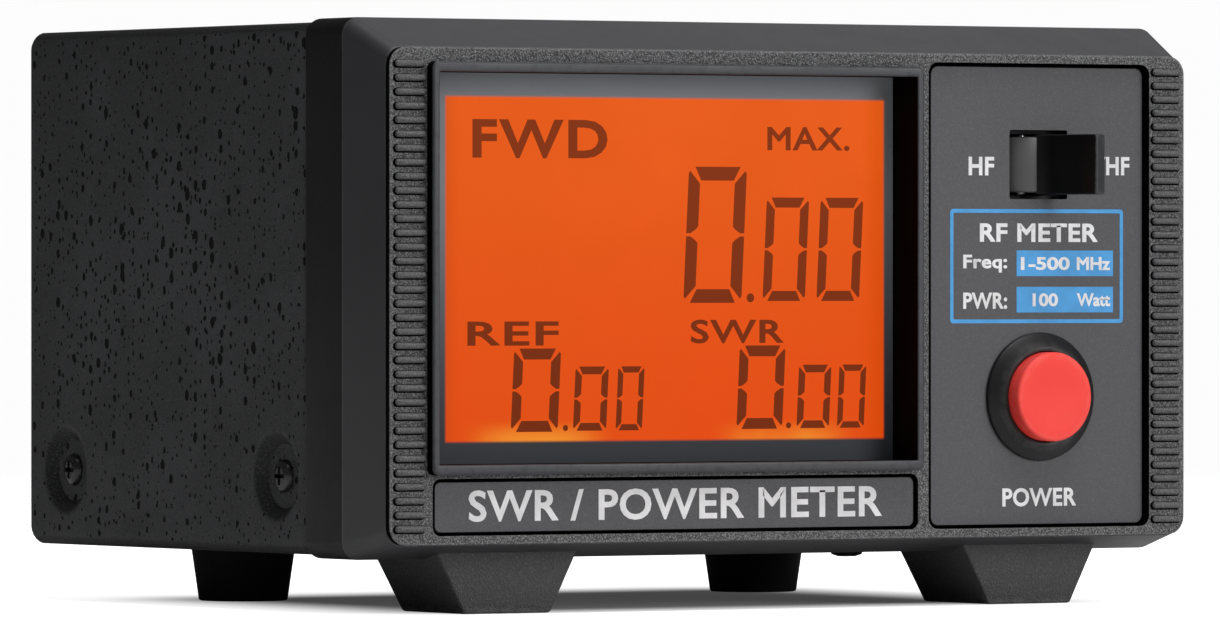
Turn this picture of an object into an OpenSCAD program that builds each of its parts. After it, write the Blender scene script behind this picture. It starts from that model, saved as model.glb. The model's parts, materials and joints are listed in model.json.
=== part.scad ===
// Digital standing-wave and power meter for a radio station: a moulded front on a steel
// sleeve, a backlit liquid-crystal display, a latching push button, a two-way band lever
// and two line sensors with coaxial sockets on the back.
// Millimetres. X is to the right seen from the front, Y goes to the rear, Z is up.
// The origin is on the ground, under the middle of the whole instrument.

/* [Case] */
// Width across the front bezel
case_w = 134; // [130:0.5:165]
// Height of the front bezel, feet not counted
case_h = 73.8; // [72:0.2:90]
// Depth of the front bezel
bezel_d = 20; // [19:0.5:26]
// Depth of the steel sleeve behind the bezel
sleeve_d = 78; // [76:1:110]
// Radius of the long outer edges of the case
edge_r = 2.5; // [2:0.25:5]
// Wall of the moulded bezel
bezel_wall = 2.4; // [2:0.1:3]
// Wall of the steel sleeve
sleeve_wall = 1.5; // [1.2:0.1:2]
// How far the bezel stands proud of the sleeve, all round
sleeve_step = 0.45; // [0.2:0.05:0.8]
// Rounding of the sleeve's top and bottom rear edges
sleeve_rear_r = 1.6; // [1.6:0.1:3]
// Width of the lip round the opening at the back of the sleeve
rear_lip = 4.5; // [3.5:0.25:5]
// Length of the bezel's tongue inside the sleeve
tongue_l = 4; // [3:0.5:6]
// Wall of the bezel's tongue
tongue_t = 1.2; // [1:0.1:1.5]

/* [Bezel face] */
// Setback of the sloping sides, measured across the front
chamfer_side = 1.6; // [1:0.1:3]
// Drop of the sloping top
chamfer_top = 4.2; // [3:0.1:6]
// Rise of the sloping bottom
chamfer_bottom = 2.15; // [1.5:0.05:3]
// Depth at which the slopes end
chamfer_d = 9.8; // [8:0.2:12]
// Height of the grained face above the rim of the slopes
face_step = 1; // [0.6:0.1:1.4]
// Ledge left round the grained face
face_ledge = 0.15; // [0.1:0.05:0.5]
// Corner radius of the grained face
face_r = 2.5; // [1.5:0.25:4]
// Thickness of the front wall
face_t = 4; // [3.6:0.1:5]
// Length of a rib at the sides of the face
rib_l = 4.9; // [3:0.1:5]
// Height of one rib
rib_h = 0.95; // [0.6:0.05:1.4]
// Spacing of the ribs
rib_pitch = 1.91; // [1.6:0.01:3]
// How far a rib stands proud of the face
rib_rise = 0.55; // [0.2:0.05:0.8]
// Gap from the face's side edge to the ribs
rib_side = 0.7; // [0.5:0.05:1]
// Gap from the face's top and bottom edges to the ribs
rib_end = 1.5; // [1:0.1:4]

/* [Display] */
// Width of the display opening
win_w = 77.6; // [60:0.2:78]
// Height of the display opening
win_h = 53.3; // [40:0.1:54]
// Width of the display frame's sides
frame_side = 1.1; // [0.8:0.1:1.3]
// Width of the display frame's top and bottom
frame_top = 1.4; // [1:0.1:1.5]
// How far the display frame stands proud of the face
frame_rise = 1.6; // [0.8:0.1:2.5]
// Gap from the face's left edge to the display frame
frame_inset = 5.9; // [5.8:0.1:9]
// Gap from the face's top edge to the display frame
frame_drop = 1.9; // [1.5:0.1:4]
// Depth of the display glass behind the face
glass_y = 4.85; // [4.85:0.05:6]
// How far the glass reaches past the opening, at the sides
glass_over_x = 0.4; // [0.2:0.1:0.5]
// How far the glass reaches past the opening, at the top and bottom
glass_over_z = 1.15; // [0.8:0.05:1.2]
// Thickness of one glass plate
glass_t = 1.1; // [0.7:0.1:1.2]
// Thickness of a polarising film
film_t = 0.2; // [0.1:0.05:0.3]
// Height of the contact ledge on the front glass
ledge_h = 1.8; // [1.6:0.1:2]
// Thickness of the light guide
guide_t = 4; // [3:0.2:4.4]
// Height of a backlight lamp
lamp_h = 1.2; // [1:0.1:1.4]
// Number of backlight lamps
lamp_n = 8; // [4:1:10]
// Wall of the display holder
holder_t = 1; // [0.8:0.1:1]
// Thickness of the circuit boards
board_t = 1.6; // [1.2:0.1:1.8]

/* [Control plate] */
// Width of the recess for the control plate
control_w = 37.4; // [34:0.2:40]
// Gap from the face's right edge to that recess
control_inset = 5.95; // [5.8:0.05:7]
// Gap from the face's top and bottom edges to that recess
control_gap_z = 1.2; // [1:0.1:2]
// How far the control plate lies below the face
control_sink = 1.2; // [0.6:0.1:1.6]
// Thickness of the control plate and the title plate
plate_t = 1; // [0.8:0.1:1.2]
// Gap round a plate in its recess
plate_gap = 0.35; // [0.1:0.05:0.5]
// Corner radius of the control plate's recess
control_r = 1.5; // [1:0.1:2.5]

/* [Title plate] */
// Width of the recess for the title plate
title_w = 78.9; // [60:0.1:80]
// Height of the recess for the title plate
title_h = 7.75; // [6:0.05:7.8]
// Gap from the face's left edge to that recess
title_inset = 6.8; // [5.9:0.1:7]
// How far the title plate lies below the face
title_sink = 0.6; // [0.4:0.1:1]
// Corner radius of the title plate's recess
title_r = 1.2; // [0.8:0.1:2]

/* [Power button] */
// Offset of the push button from the middle of the control plate
power_dx = 0.7; // [-2:0.1:2]
// Height of the push button above the bottom of the face
power_dz = 19.55; // [16:0.05:24]
// Outer radius of the button's ring
ring_r = 9; // [8.6:0.1:10]
// Radius of the ring's front rim
ring_rim_r = 6.95; // [6.7:0.05:7.4]
// How far the ring stands out from the plate
ring_rise = 1.75; // [1:0.05:3]
// Height of the ring's straight outer edge
ring_edge = 0.5; // [0.3:0.05:0.8]
// Radius of the threaded barrel behind the ring
barrel_r = 7.9; // [7.4:0.1:8]
// Length of the threaded barrel
barrel_l = 8; // [7:0.5:10]
// Clearance of the barrel in its hole
barrel_gap = 0.2; // [0.1:0.05:0.4]
// Radius of the red button
cap_r = 6.25; // [5.2:0.05:6.4]
// Radial running clearance of the button in its ring
cap_gap = 0.1; // [0.05:0.01:0.2]
// How far the button stands out from the plate at rest
cap_rise = 4; // [3:0.1:6]
// Rounding of the button's edge
cap_edge = 0.55; // [0.3:0.05:0.8]
// Travel of the button
cap_travel = 1.8; // [1:0.1:2]
// Width across the flats of the ring's nut
nut_w = 19; // [18:0.5:20]
// Thickness of that nut
nut_t = 2.4; // [2:0.1:2.6]
// Side of the switch body
switch_w = 15.6; // [15.6:0.1:17]
// Length of the switch body
switch_l = 15; // [13:0.5:16]

/* [Band switch] */
// Offset of the band lever from the middle of the control plate
band_dx = 0.55; // [-2:0.05:2]
// Height of the band lever above the bottom of the face
band_dz = 52.1; // [49:0.1:56]
// Width of the lever's window
window_w = 9.8; // [9.6:0.1:12]
// Height of the lever's window
window_h = 9.7; // [9.2:0.1:11]
// Radius of the lever's barrel
drum_r = 4.6; // [3.8:0.1:4.7]
// Height of the lever's barrel
drum_h = 7.8; // [7:0.1:8]
// Reach of the lever from its axis to its tip
lever_reach = 14.2; // [12:0.1:16]
// Thickness of the lever's paddle
paddle_t = 2.2; // [1.8:0.1:2.4]
// Height of the lever's paddle
paddle_h = 8.45; // [7:0.05:8.6]
// Bevel along the paddle's tip
tip_bevel = 0.35; // [0.1:0.05:0.6]
// Lean of the lever to either side
lever_lean = 20; // [12:1:24]
// Depth of the lever's axis behind the plate's front
lever_axis = 4.9; // [4.8:0.05:5.4]
// Radius of the lever's pin
pin_r = 1; // [0.8:0.05:1.3]
// Radial running clearance of the lever on its pin
pin_gap = 0.05; // [0.02:0.01:0.1]
// Clearance round the barrel in its housing
drum_gap = 0.35; // [0.3:0.05:0.5]

/* [Feet] */
// Height of the bezel above the ground
foot_h = 7.5; // [5:0.1:12]
// Distance of each foot from the middle
foot_x = 43.1; // [30:0.1:48]
// Width of a front foot at the top
front_foot_w = 22.4; // [18:0.2:26]
// Width of a front foot on the ground
front_foot_base = 13.8; // [10:0.2:18]
// Depth of a front foot
front_foot_d = 16.5; // [12:0.5:18]
// Place of the front feet behind the face
front_foot_y = 6; // [4:0.5:7]
// Place of the rear feet behind the face
rear_foot_y = 78; // [60:1:84]
// Radius of a rear foot at the top
rear_foot_r = 7.45; // [6:0.05:9]
// Radius of a rear foot on the ground
rear_foot_base_r = 6.3; // [5.5:0.05:7]

/* [Side screws and dimples] */
// Height of the side screws above the bottom of the sleeve
side_screw_z = 10.7; // [9:0.1:13]
// Distance of the front side screws behind the sleeve's front edge
side_screw_front = 8.6; // [8:0.1:14]
// Distance of the rear side screws ahead of the sleeve's rear edge
side_screw_rear = 10.2; // [9.5:0.1:14]
// Radius of a dimple at the surface
dimple_r = 5.7; // [5:0.1:6.5]
// Radius of a dimple's floor
dimple_floor_r = 3.1; // [2.9:0.1:4]
// Depth of a dimple
dimple_d = 2.4; // [1.8:0.1:2.8]
// Rounding of a dimple's rim
dimple_lip = 0.8; // [0.4:0.1:1]

/* [Sockets and sensors] */
// Radius of a coaxial socket's thread
socket_r = 7.94; // [7.9:0.01:7.94]
// Length of a coaxial socket's thread
socket_l = 11; // [9:0.5:13]
// Side of a socket's flange
flange_w = 25.4; // [25:0.1:26]
// Thickness of that flange
flange_t = 2.4; // [2:0.1:3]
// Spacing of the flange screws
flange_pitch = 18.2; // [18:0.1:18.4]
// Radius of the flange screw holes
flange_hole_r = 1.7; // [1.6:0.05:1.8]
// Radius of the bore inside the shell
shell_bore_r = 6.1; // [5.8:0.1:6.3]
// Radius of the bore in the centre contact
contact_bore_r = 2; // [1.98:0.01:2.02]
// Distance of the inner sockets from the middle
socket_in_x = 17.5; // [16:0.5:18]
// Distance of the outer sockets from the middle
socket_out_x = 47.2; // [44:0.1:48]
// Height of the sockets above the middle of the sleeve
socket_dz = 8; // [4:0.5:12]
// Width of a sensor box
sensor_w = 57; // [55:0.5:58]
// Height of a sensor box
sensor_h = 32; // [28:0.5:34]
// Depth of a sensor box
sensor_d = 38; // [32:1:44]
// Wall of a sensor box
sensor_wall = 1.5; // [1:0.1:2]
// Height of the power inlet above the bottom of the sleeve
inlet_dz = 14; // [12:0.5:20]
// Radius of the power inlet's barrel
inlet_r = 5.4; // [5:0.1:6]

/* [Chassis and boards] */
// Thickness of the sheet steel of the tray and the rear panel
sheet_t = 1.2; // [1:0.1:1.5]
// Height of the tray's side flanges
flange_h = 16; // [14:0.5:20]
// Width of the main board
main_w = 104; // [90:1:108]
// Depth of the main board
main_d = 46; // [40:1:48]
// Place of the main board behind the face
main_y = 31; // [30:0.5:34]
// Height of the standoffs under the main board
standoff_h = 5; // [4:0.5:7]

/* [Hidden] */

arc_fn = 64;         // smoothness of full circles
lip_steps = 6;       // straight steps in a turned rounding
fit = 0.05;          // gap between fixed pieces that only lie against each other
slip = 0.1;          // gap round fixed pieces that slide into place

// heights and outlines of the case
bezel_z0 = foot_h;
bezel_z1 = foot_h + case_h;
mid_z = (bezel_z0 + bezel_z1)/2;
sleeve_w = case_w - 2*sleeve_step;
sleeve_h = case_h - 2*sleeve_step;
sleeve_z0 = bezel_z0 + sleeve_step;
sleeve_y0 = bezel_d;
sleeve_y1 = bezel_d + sleeve_d;
inner_w = sleeve_w - 2*sleeve_wall;
inner_h = sleeve_h - 2*sleeve_wall;
inner_z0 = sleeve_z0 + sleeve_wall;
face_w = case_w - 2*chamfer_side;
face_z0 = bezel_z0 + chamfer_bottom;
face_z1 = bezel_z1 - chamfer_top;
face_h = face_z1 - face_z0;
face_mid_z = (face_z0 + face_z1)/2;
face_x0 = -face_w/2;
face_x1 = face_w/2;
slope = (chamfer_bottom - face_ledge)/(chamfer_d - face_step);

// display
frame_w = win_w + 2*frame_side;
frame_h = win_h + 2*frame_top;
win_x = face_x0 + frame_inset + frame_w/2;
win_z = face_z1 - frame_drop - frame_h/2;
glass_w = win_w + 2*glass_over_x;
glass_h = win_h + 2*glass_over_z;
skirt_t = frame_side - slip - 0.2;
glass_y1 = glass_y + film_t;
glass_y2 = glass_y1 + glass_t;
glass_y3 = glass_y2 + glass_t;
guide_y0 = glass_y3 + film_t + fit;
guide_y1 = guide_y0 + guide_t;
guide_w = glass_w - 2;
guide_z0 = win_z - glass_h/2 + ledge_h + lamp_h + 2*fit;
guide_z1 = win_z + glass_h/2 - ledge_h - fit;
reflector_y1 = guide_y1 + film_t;
holder_y1 = reflector_y1 + fit + holder_t;
holder_w = glass_w + 2*slip + 2*holder_t;
holder_h = glass_h + 2*slip + 2*holder_t;
board_y0 = holder_y1 + fit;
board_y1 = board_y0 + board_t;
post_r = 1.6;
post_pilot_r = 0.8;
post_dz = 22;
post_x = [win_x - holder_w/2 - post_r - slip, win_x + holder_w/2 + post_r + slip];
strip_t = 1.4;
strip_l = win_w - 8;
cavity_side = 2.2;
cavity_top = 0.9;

// control plate and its switches
control_x1 = face_x1 - control_inset;
control_x = control_x1 - control_w/2;
control_h = face_h - 2*control_gap_z;
plate_y = control_sink;
plate_back = control_sink + plate_t;
title_back = title_sink + plate_t;
title_x = face_x0 + title_inset + title_w/2;
title_z = face_z0 + control_gap_z + title_h/2;
power_x = control_x + power_dx;
power_z = face_z0 + power_dz;
barrel_hole_r = barrel_r + barrel_gap;
nut_y = face_t + fit;
switch_y0 = plate_y + barrel_l + fit;
switch_y1 = switch_y0 + switch_l;
cap_back = plate_y + barrel_l - 1;
stem_r = 2.2;
band_x = control_x + band_dx;
band_z = face_z0 + band_dz;
axis_y = plate_y + lever_axis;
housing_w = 2*(drum_r + drum_gap) + 4;
housing_h = drum_h + 2*drum_gap + 4;
housing_y0 = face_t + fit;
housing_y1 = axis_y + drum_r + drum_gap + 2.6;
throat_w = window_w + 1.6;
panel_board_y = housing_y1 + 1;

// inside the sleeve
tray_z = inner_z0 + slip;
tray_top = tray_z + sheet_t;
tray_y0 = sleeve_y0 + tongue_l + 0.5;
flange_x = inner_w/2 + sleeve_wall - dimple_d - sleeve_wall - fit;
panel_y1 = sleeve_y1 - sleeve_wall - slip;
panel_y0 = panel_y1 - sheet_t;
tray_y1 = panel_y0 - fit;
screw_z = sleeve_z0 + side_screw_z;
screw_ys = [sleeve_y0 + side_screw_front, sleeve_y1 - side_screw_rear];
tab_x = 57;
tab_z = inner_z0 + 5.4;
tab_screw_r = 1.25;
boss_r = 3.1;
rear_tab_x = 54;
rear_tab_z = sleeve_z0 + rear_lip + 3.2;
sleeve_back = 1;     // how far a dimple's back reaches past its front, all round
main_z = tray_top + standoff_h;
main_top = main_z + board_t;
standoff_x = main_w/2 - 5;
standoff_ys = [main_y + 5, main_y + main_d - 5];
standoff_r = 2.6;
case_screw_x = 28;
case_screw_y = sleeve_y0 + 10;

// sockets and sensor boxes
socket_z = mid_z + socket_dz;
socket_xs = [-socket_out_x, -socket_in_x, socket_in_x, socket_out_x];
sensor_x = (socket_in_x + socket_out_x)/2;
sensor_y1 = panel_y0 - slip;
sensor_y0 = sensor_y1 - sensor_d;
flange_y = panel_y1;
thread_y0 = flange_y + flange_t;
thread_y1 = thread_y0 + socket_l;
neck_r = shell_bore_r - 0.4;
neck_y = sensor_y1 - sensor_wall - 1;
line_r = 1.6;
line_y = neck_y - 6;
inlet_z = sleeve_z0 + inlet_dz;
inlet_flange_t = 1.4;
inlet_body_l = 11;

// whole instrument
lever_front = axis_y - lever_reach*cos(lever_lean) - (paddle_t/2 - tip_bevel)*sin(lever_lean);
front_y = min(plate_y - cap_rise, lever_front);
face_y = -(front_y + thread_y1)/2;

// ---- drawing aids ----

module placed() translate([0, face_y, 0]) children();

// a flat X-Z drawing carried from depth y0 to depth y1
module slab(y0, y1) translate([0, y1, 0]) rotate([90, 0, 0]) linear_extrude(y1 - y0) children();

// a flat Y-Z drawing carried from x0 to x1
module sweep_x(x0, x1) translate([x0, 0, 0]) rotate([90, 0, 90]) linear_extrude(x1 - x0) children();

// rectangle with true arcs in its corners
module rounded(w, h, r) {
    square([w - 2*r, h], center = true);
    square([w, h - 2*r], center = true);
    for (x = [-1, 1], z = [-1, 1])
        translate([x*(w/2 - r), z*(h/2 - r)]) circle(r = r, $fn = arc_fn);
}

module rounded_slab(x, z, w, h, r, y0, y1) slab(y0, y1) translate([x, z]) rounded(w, h, r);

module block(x, z, w, h, y0, y1) translate([x - w/2, y0, z - h/2]) cube([w, y1 - y0, h]);

module rod_y(x, z, r, y0, y1, fn = arc_fn)
    translate([x, y0, z]) rotate([-90, 0, 0]) cylinder(h = y1 - y0, r = r, $fn = fn);

module rod_x(x0, x1, y, z, r)
    translate([x0, y, z]) rotate([0, 90, 0]) cylinder(h = x1 - x0, r = r, $fn = arc_fn);

module rod_z(x, y, z0, z1, r)
    translate([x, y, z0]) cylinder(h = z1 - z0, r = r, $fn = arc_fn);

// a profile of [radius, depth] points turned round an axis along Y
module turned(x, z, points)
    translate([x, 0, z]) rotate([-90, 0, 0]) rotate_extrude($fn = arc_fn) polygon(points);

// points of a quarter round from angle a0 to a1 about a centre
function quarter(cx, cy, r, a0, a1) =
    [for (i = [0:lip_steps]) let (a = a0 + (a1 - a0)*i/lip_steps) [cx + r*cos(a), cy + r*sin(a)]];

// pan-head screw along +Z: its head is above z = 0, its shank below
module pan_screw(head_r, head_h, shank_r, shank_l) {
    difference() {
        union() {
            rotate_extrude($fn = arc_fn) polygon(concat([[0, 0], [head_r, 0], [head_r, head_h*0.45]],
                [[head_r*0.86, head_h*0.82], [head_r*0.5, head_h], [0, head_h]]));
            translate([0, 0, -shank_l]) cylinder(h = shank_l, r = shank_r, $fn = arc_fn);
        }
        for (a = [0, 90]) rotate([0, 0, a])
            translate([-head_r*0.55, -head_r*0.13, head_h*0.35]) cube([head_r*1.1, head_r*0.26, head_h]);
    }
}

// ---- case ----

module bezel_outline() {
    intersection() {
        rounded_slab(0, mid_z, case_w, case_h, edge_r, face_step, bezel_d);
        sweep_x(-case_w, case_w) polygon([
            [face_step, face_z0 - face_ledge], [chamfer_d, bezel_z0], [bezel_d, bezel_z0],
            [bezel_d, bezel_z1], [chamfer_d, bezel_z1], [face_step, face_z1 + face_ledge]]);
        linear_extrude(bezel_z1 + case_h) polygon([
            [face_x0 - face_ledge, face_step], [face_x1 + face_ledge, face_step],
            [case_w/2, chamfer_d], [case_w/2, bezel_d], [-case_w/2, bezel_d],
            [-case_w/2, chamfer_d]]);
    }
    rounded_slab(0, face_mid_z, face_w, face_h, face_r, 0, face_step);
}

module ribs() {
    count = floor((face_h - 2*rib_end - rib_h)/rib_pitch) + 1;
    first = face_mid_z - (count - 1)*rib_pitch/2;
    for (i = [0:count - 1], side = [-1, 1])
        slab(-rib_rise, 0) translate([side*(face_w/2 - rib_side - rib_l/2), first + i*rib_pitch])
            rounded(rib_l, rib_h, rib_h/2 - 0.001);
}

// bosses for the tray's front tabs, for the feet and for the display board
module bezel_bosses() {
    for (side = [-1, 1]) {
        rod_y(side*tab_x, tab_z, boss_r, face_t - fit, tray_y0 - fit);
        rod_z(side*foot_x, front_foot_y + front_foot_d/2, bezel_z0 + bezel_wall - fit,
            bezel_z0 + bezel_wall + 5, boss_r);
    }
    for (x = post_x, side = [-1, 1])
        rod_y(x, win_z + side*post_dz, post_r, face_t - fit, board_y0 - fit);
}

module front_bezel() color([0.20, 0.20, 0.21]) placed() difference() {
    union() {
        difference() {
            bezel_outline();
            block(0, face_mid_z + (cavity_side - cavity_top)/2, face_w - 2*cavity_side,
                face_h - cavity_side - cavity_top, face_t, bezel_d);
            rounded_slab(0, mid_z, case_w - 2*bezel_wall, case_h - 2*bezel_wall, edge_r - bezel_wall/2,
                chamfer_d + 1.2, bezel_d + tongue_l);
        }
        ribs();
        bezel_bosses();
        difference() {
            rounded_slab(0, mid_z, inner_w - 2*slip, inner_h - 2*slip, edge_r - sleeve_wall,
                bezel_d - tongue_l, bezel_d + tongue_l);
            rounded_slab(0, mid_z, inner_w - 2*slip - 2*tongue_t, inner_h - 2*slip - 2*tongue_t,
                edge_r - sleeve_wall - 0.5, bezel_d - tongue_l - 1, bezel_d + tongue_l + 1);
        }
    }
    block(win_x, win_z, frame_w - 0.4, frame_h - 0.4, -1, face_t + 1);
    rounded_slab(control_x, face_mid_z, control_w, control_h, control_r, -1, plate_back);
    rounded_slab(title_x, title_z, title_w, title_h, title_r, -1, title_back);
    rod_y(power_x, power_z, barrel_hole_r, 0, face_t + 1);
    block(band_x, band_z, throat_w, throat_w, 0, face_t + 1);
    for (side = [-1, 1]) {
        rod_y(side*tab_x, tab_z, tab_screw_r, tray_y0 - 8, tray_y0 + 1);
        rod_z(side*foot_x, front_foot_y + front_foot_d/2, bezel_z0 - 1,
            bezel_z0 + bezel_wall + 4.2, tab_screw_r);
    }
    for (x = post_x, side = [-1, 1])
        rod_y(x, win_z + side*post_dz, post_pilot_r, board_y0 - 6, board_y0 + 1);
    for (x0 = [-inner_w/2 - 1, inner_w/2 - tongue_t - 2])
        rod_x(x0, x0 + tongue_t + 3, screw_ys[0], screw_z, dimple_r + sleeve_back + 2*slip);
}

// pressed dimple on the side of the sleeve: profile of [radius, depth]
function dimple_profile() = concat([[0, -1], [dimple_r + dimple_lip, -1], [dimple_r + dimple_lip, 0]],
    [for (i = [1:lip_steps]) let (a = 45*i/lip_steps)
        [dimple_r + dimple_lip*(1 - sin(a)/sin(45)*0.9), dimple_lip*(1 - cos(a))]],
    [[dimple_floor_r, dimple_d], [0, dimple_d]]);

module on_side(side, y, z) translate([side*sleeve_w/2, y, z]) rotate([0, -side*90, 0]) children();

module sleeve_cover() color([0.17, 0.17, 0.18]) placed() difference() {
    union() {
        difference() {
            intersection() {
                rounded_slab(0, mid_z, sleeve_w, sleeve_h, edge_r, sleeve_y0, sleeve_y1);
                sweep_x(-case_w, case_w) union() {
                    translate([sleeve_y0 - 1, sleeve_z0]) square([sleeve_d + 1 - sleeve_rear_r, sleeve_h]);
                    translate([sleeve_y1 - sleeve_rear_r - 1, sleeve_z0 + sleeve_rear_r])
                        square([sleeve_rear_r + 1, sleeve_h - 2*sleeve_rear_r]);
                    for (z = [sleeve_z0 + sleeve_rear_r, sleeve_z0 + sleeve_h - sleeve_rear_r])
                        translate([sleeve_y1 - sleeve_rear_r, z]) circle(r = sleeve_rear_r, $fn = arc_fn);
                }
            }
            rounded_slab(0, mid_z, inner_w, inner_h, edge_r - sleeve_wall, sleeve_y0 - 1, panel_y1 + slip);
            rounded_slab(0, mid_z, sleeve_w - 2*rear_lip, sleeve_h - 2*rear_lip, edge_r,
                sleeve_y1 - 3*sleeve_wall, sleeve_y1 + 1);
        }
        for (side = [-1, 1], y = screw_ys) on_side(side, y, screw_z) translate([0, 0, sleeve_wall/2])
            cylinder(h = dimple_d + sleeve_wall/2, r1 = dimple_r + sleeve_back,
                r2 = dimple_floor_r + sleeve_back, $fn = arc_fn);
    }
    for (side = [-1, 1], y = screw_ys) on_side(side, y, screw_z) {
        rotate_extrude($fn = arc_fn) polygon(dimple_profile());
        cylinder(h = dimple_d + sleeve_wall + 1, r = 1.7, $fn = arc_fn);
    }
    for (side = [-1, 1]) {
        rod_z(side*case_screw_x, case_screw_y, sleeve_z0 - 1, inner_z0 + 1, 1.7);
        rod_z(side*foot_x, rear_foot_y, sleeve_z0 - 1, inner_z0 + 1, 1.7);
    }
}

module chassis_tray() color([0.72, 0.73, 0.74]) placed() difference() {
    union() {
        block(0, tray_z + sheet_t/2, 2*flange_x, sheet_t, tray_y0, tray_y1);
        for (side = [-1, 1]) {
            block(side*(flange_x - sheet_t/2), tray_z + flange_h/2, sheet_t, flange_h,
                tray_y0 + 2, tray_y1);
            block(side*tab_x, tray_z + 4.5, 9, 9, tray_y0, tray_y0 + sheet_t);
            block(side*rear_tab_x, (tray_z + rear_tab_z + 4.5)/2, 9, rear_tab_z + 4.5 - tray_z,
                tray_y1 - sheet_t, tray_y1);
        }
    }
    for (side = [-1, 1]) {
        rod_y(side*tab_x, tab_z, 1.5, tray_y0 - 1, tray_y0 + sheet_t + 1);
        rod_y(side*rear_tab_x, rear_tab_z, 1.5, tray_y1 - sheet_t - 1, tray_y1 + 1);
        rod_z(side*case_screw_x, case_screw_y, tray_z - 1, tray_top + 1, 1.5);
        rod_z(side*foot_x, rear_foot_y, tray_z - 1, tray_top + 1, 1.5);
        for (y = screw_ys)
            rod_x(side*flange_x - 2, side*flange_x + 2, y, screw_z, 1.5);
    }
}

module rear_panel() color([0.13, 0.13, 0.14]) placed() difference() {
    rounded_slab(0, mid_z, inner_w - 2*slip, inner_h - 2*slip, edge_r - sleeve_wall, panel_y0, panel_y1);
    for (x = socket_xs) {
        rod_y(x, socket_z, neck_r + slip, panel_y0 - 1, panel_y1 + 1);
        for (u = [-1, 1], v = [-1, 1])
            rod_y(x + u*flange_pitch/2, socket_z + v*flange_pitch/2, 1.5, panel_y0 - 1, panel_y1 + 1);
    }
    rod_y(0, inlet_z, inlet_r + slip, panel_y0 - 1, panel_y1 + 1);
    for (side = [-1, 1]) rod_y(side*rear_tab_x, rear_tab_z, 1.5, panel_y0 - 1, panel_y1 + 1);
}

module control_plate() color([0.35, 0.35, 0.36]) placed() difference() {
    rounded_slab(control_x, face_mid_z, control_w - 2*plate_gap, control_h - 2*plate_gap,
        control_r - plate_gap, plate_y, plate_back);
    rod_y(power_x, power_z, barrel_hole_r, 0, plate_back + 1);
    block(band_x, band_z, window_w, window_h, 0, plate_back + 1);
}

module title_plate() color([0.33, 0.33, 0.35]) placed()
    rounded_slab(title_x, title_z, title_w - 2*plate_gap, title_h - 2*plate_gap, title_r - plate_gap,
        title_sink, title_back);

// ---- display ----

module display_frame() color([0.16, 0.16, 0.17]) placed() difference() {
    union() {
        rounded_slab(win_x, win_z, frame_w, frame_h, 1, -frame_rise, 0);
        block(win_x, win_z, win_w + 2*skirt_t, win_h + 2*skirt_t, 0, glass_y - fit);
    }
    block(win_x, win_z, win_w, win_h, -frame_rise - 1, glass_y + 1);
}

module lcd_front_film() color([0.92, 0.40, 0.10]) placed()
    block(win_x, win_z, glass_w - 0.6, glass_h - 0.6, glass_y, glass_y1);

module lcd_front_glass() color([0.60, 0.66, 0.66, 0.5]) placed()
    block(win_x, win_z, glass_w, glass_h, glass_y1, glass_y2);

module lcd_rear_glass() color([0.60, 0.66, 0.66, 0.5]) placed()
    block(win_x, win_z, glass_w, glass_h - 2*ledge_h, glass_y2, glass_y3);

module lcd_rear_film() color([0.45, 0.42, 0.35]) placed()
    block(win_x, win_z, guide_w, guide_z1 - guide_z0 - 1, glass_y3, glass_y3 + film_t);

module light_guide() color([0.98, 0.95, 0.88]) placed()
    block(win_x, (guide_z0 + guide_z1)/2, guide_w, guide_z1 - guide_z0, guide_y0, guide_y1);

module reflector_sheet() color([0.97, 0.97, 0.97]) placed()
    block(win_x, (guide_z0 + guide_z1)/2, guide_w, guide_z1 - guide_z0, guide_y1, reflector_y1);

module backlight_lamps() color([1, 0.75, 0.30]) placed()
    for (i = [0:lamp_n - 1])
        block(win_x + (i - (lamp_n - 1)/2)*guide_w/lamp_n, guide_z0 - fit - lamp_h/2, 3, lamp_h,
            guide_y0 + guide_t/2 - 1.2, guide_y0 + guide_t/2 + 1.2);

module lcd_holder() color([0.90, 0.90, 0.88]) placed() difference() {
    block(win_x, win_z, holder_w, holder_h, glass_y1 + 0.1, holder_y1);
    block(win_x, win_z, glass_w + 2*slip, glass_h + 2*slip, glass_y1 - 1, reflector_y1 + fit);
    block(win_x, win_z, glass_w - 16, glass_h - 16, glass_y1, holder_y1 + 1);
    for (side = [-1, 1])
        block(win_x, win_z + side*(glass_h/2 - ledge_h/2), strip_l + 2*slip, strip_t + 2*slip,
            glass_y2, holder_y1 + 1);
}

module contact_strips() color([0.85, 0.55, 0.62]) placed()
    for (side = [-1, 1])
        block(win_x, win_z + side*(glass_h/2 - ledge_h/2), strip_l, strip_t, glass_y2, board_y0);

module display_board() color([0.10, 0.35, 0.18]) placed() difference() {
    block((post_x[0] + post_x[1])/2, win_z, post_x[1] - post_x[0] + 2*post_r, holder_h,
        board_y0, board_y1);
    for (x = post_x, side = [-1, 1])
        rod_y(x, win_z + side*post_dz, post_pilot_r + fit, board_y0 - 1, board_y1 + 1);
}

module display_driver() color([0.09, 0.09, 0.10]) placed() {
    block(win_x + 10, win_z + 4, 14, 14, board_y1, board_y1 + 1.5);
    for (side = [-1, 1], i = [-5:5]) {
        block(win_x + 10 + i*1.1, win_z + 4 + side*7.9, 0.5, 1.8, board_y1, board_y1 + 0.6);
        block(win_x + 10 + side*7.9, win_z + 4 + i*1.1, 1.8, 0.5, board_y1, board_y1 + 0.6);
    }
}

module display_screws() color([0.75, 0.75, 0.77]) placed()
    for (x = post_x, side = [-1, 1])
        translate([x, board_y1, win_z + side*post_dz]) rotate([-90, 0, 0])
            pan_screw(1.5, 1.1, post_pilot_r, board_t + 4);

// ---- power button ----

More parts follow.
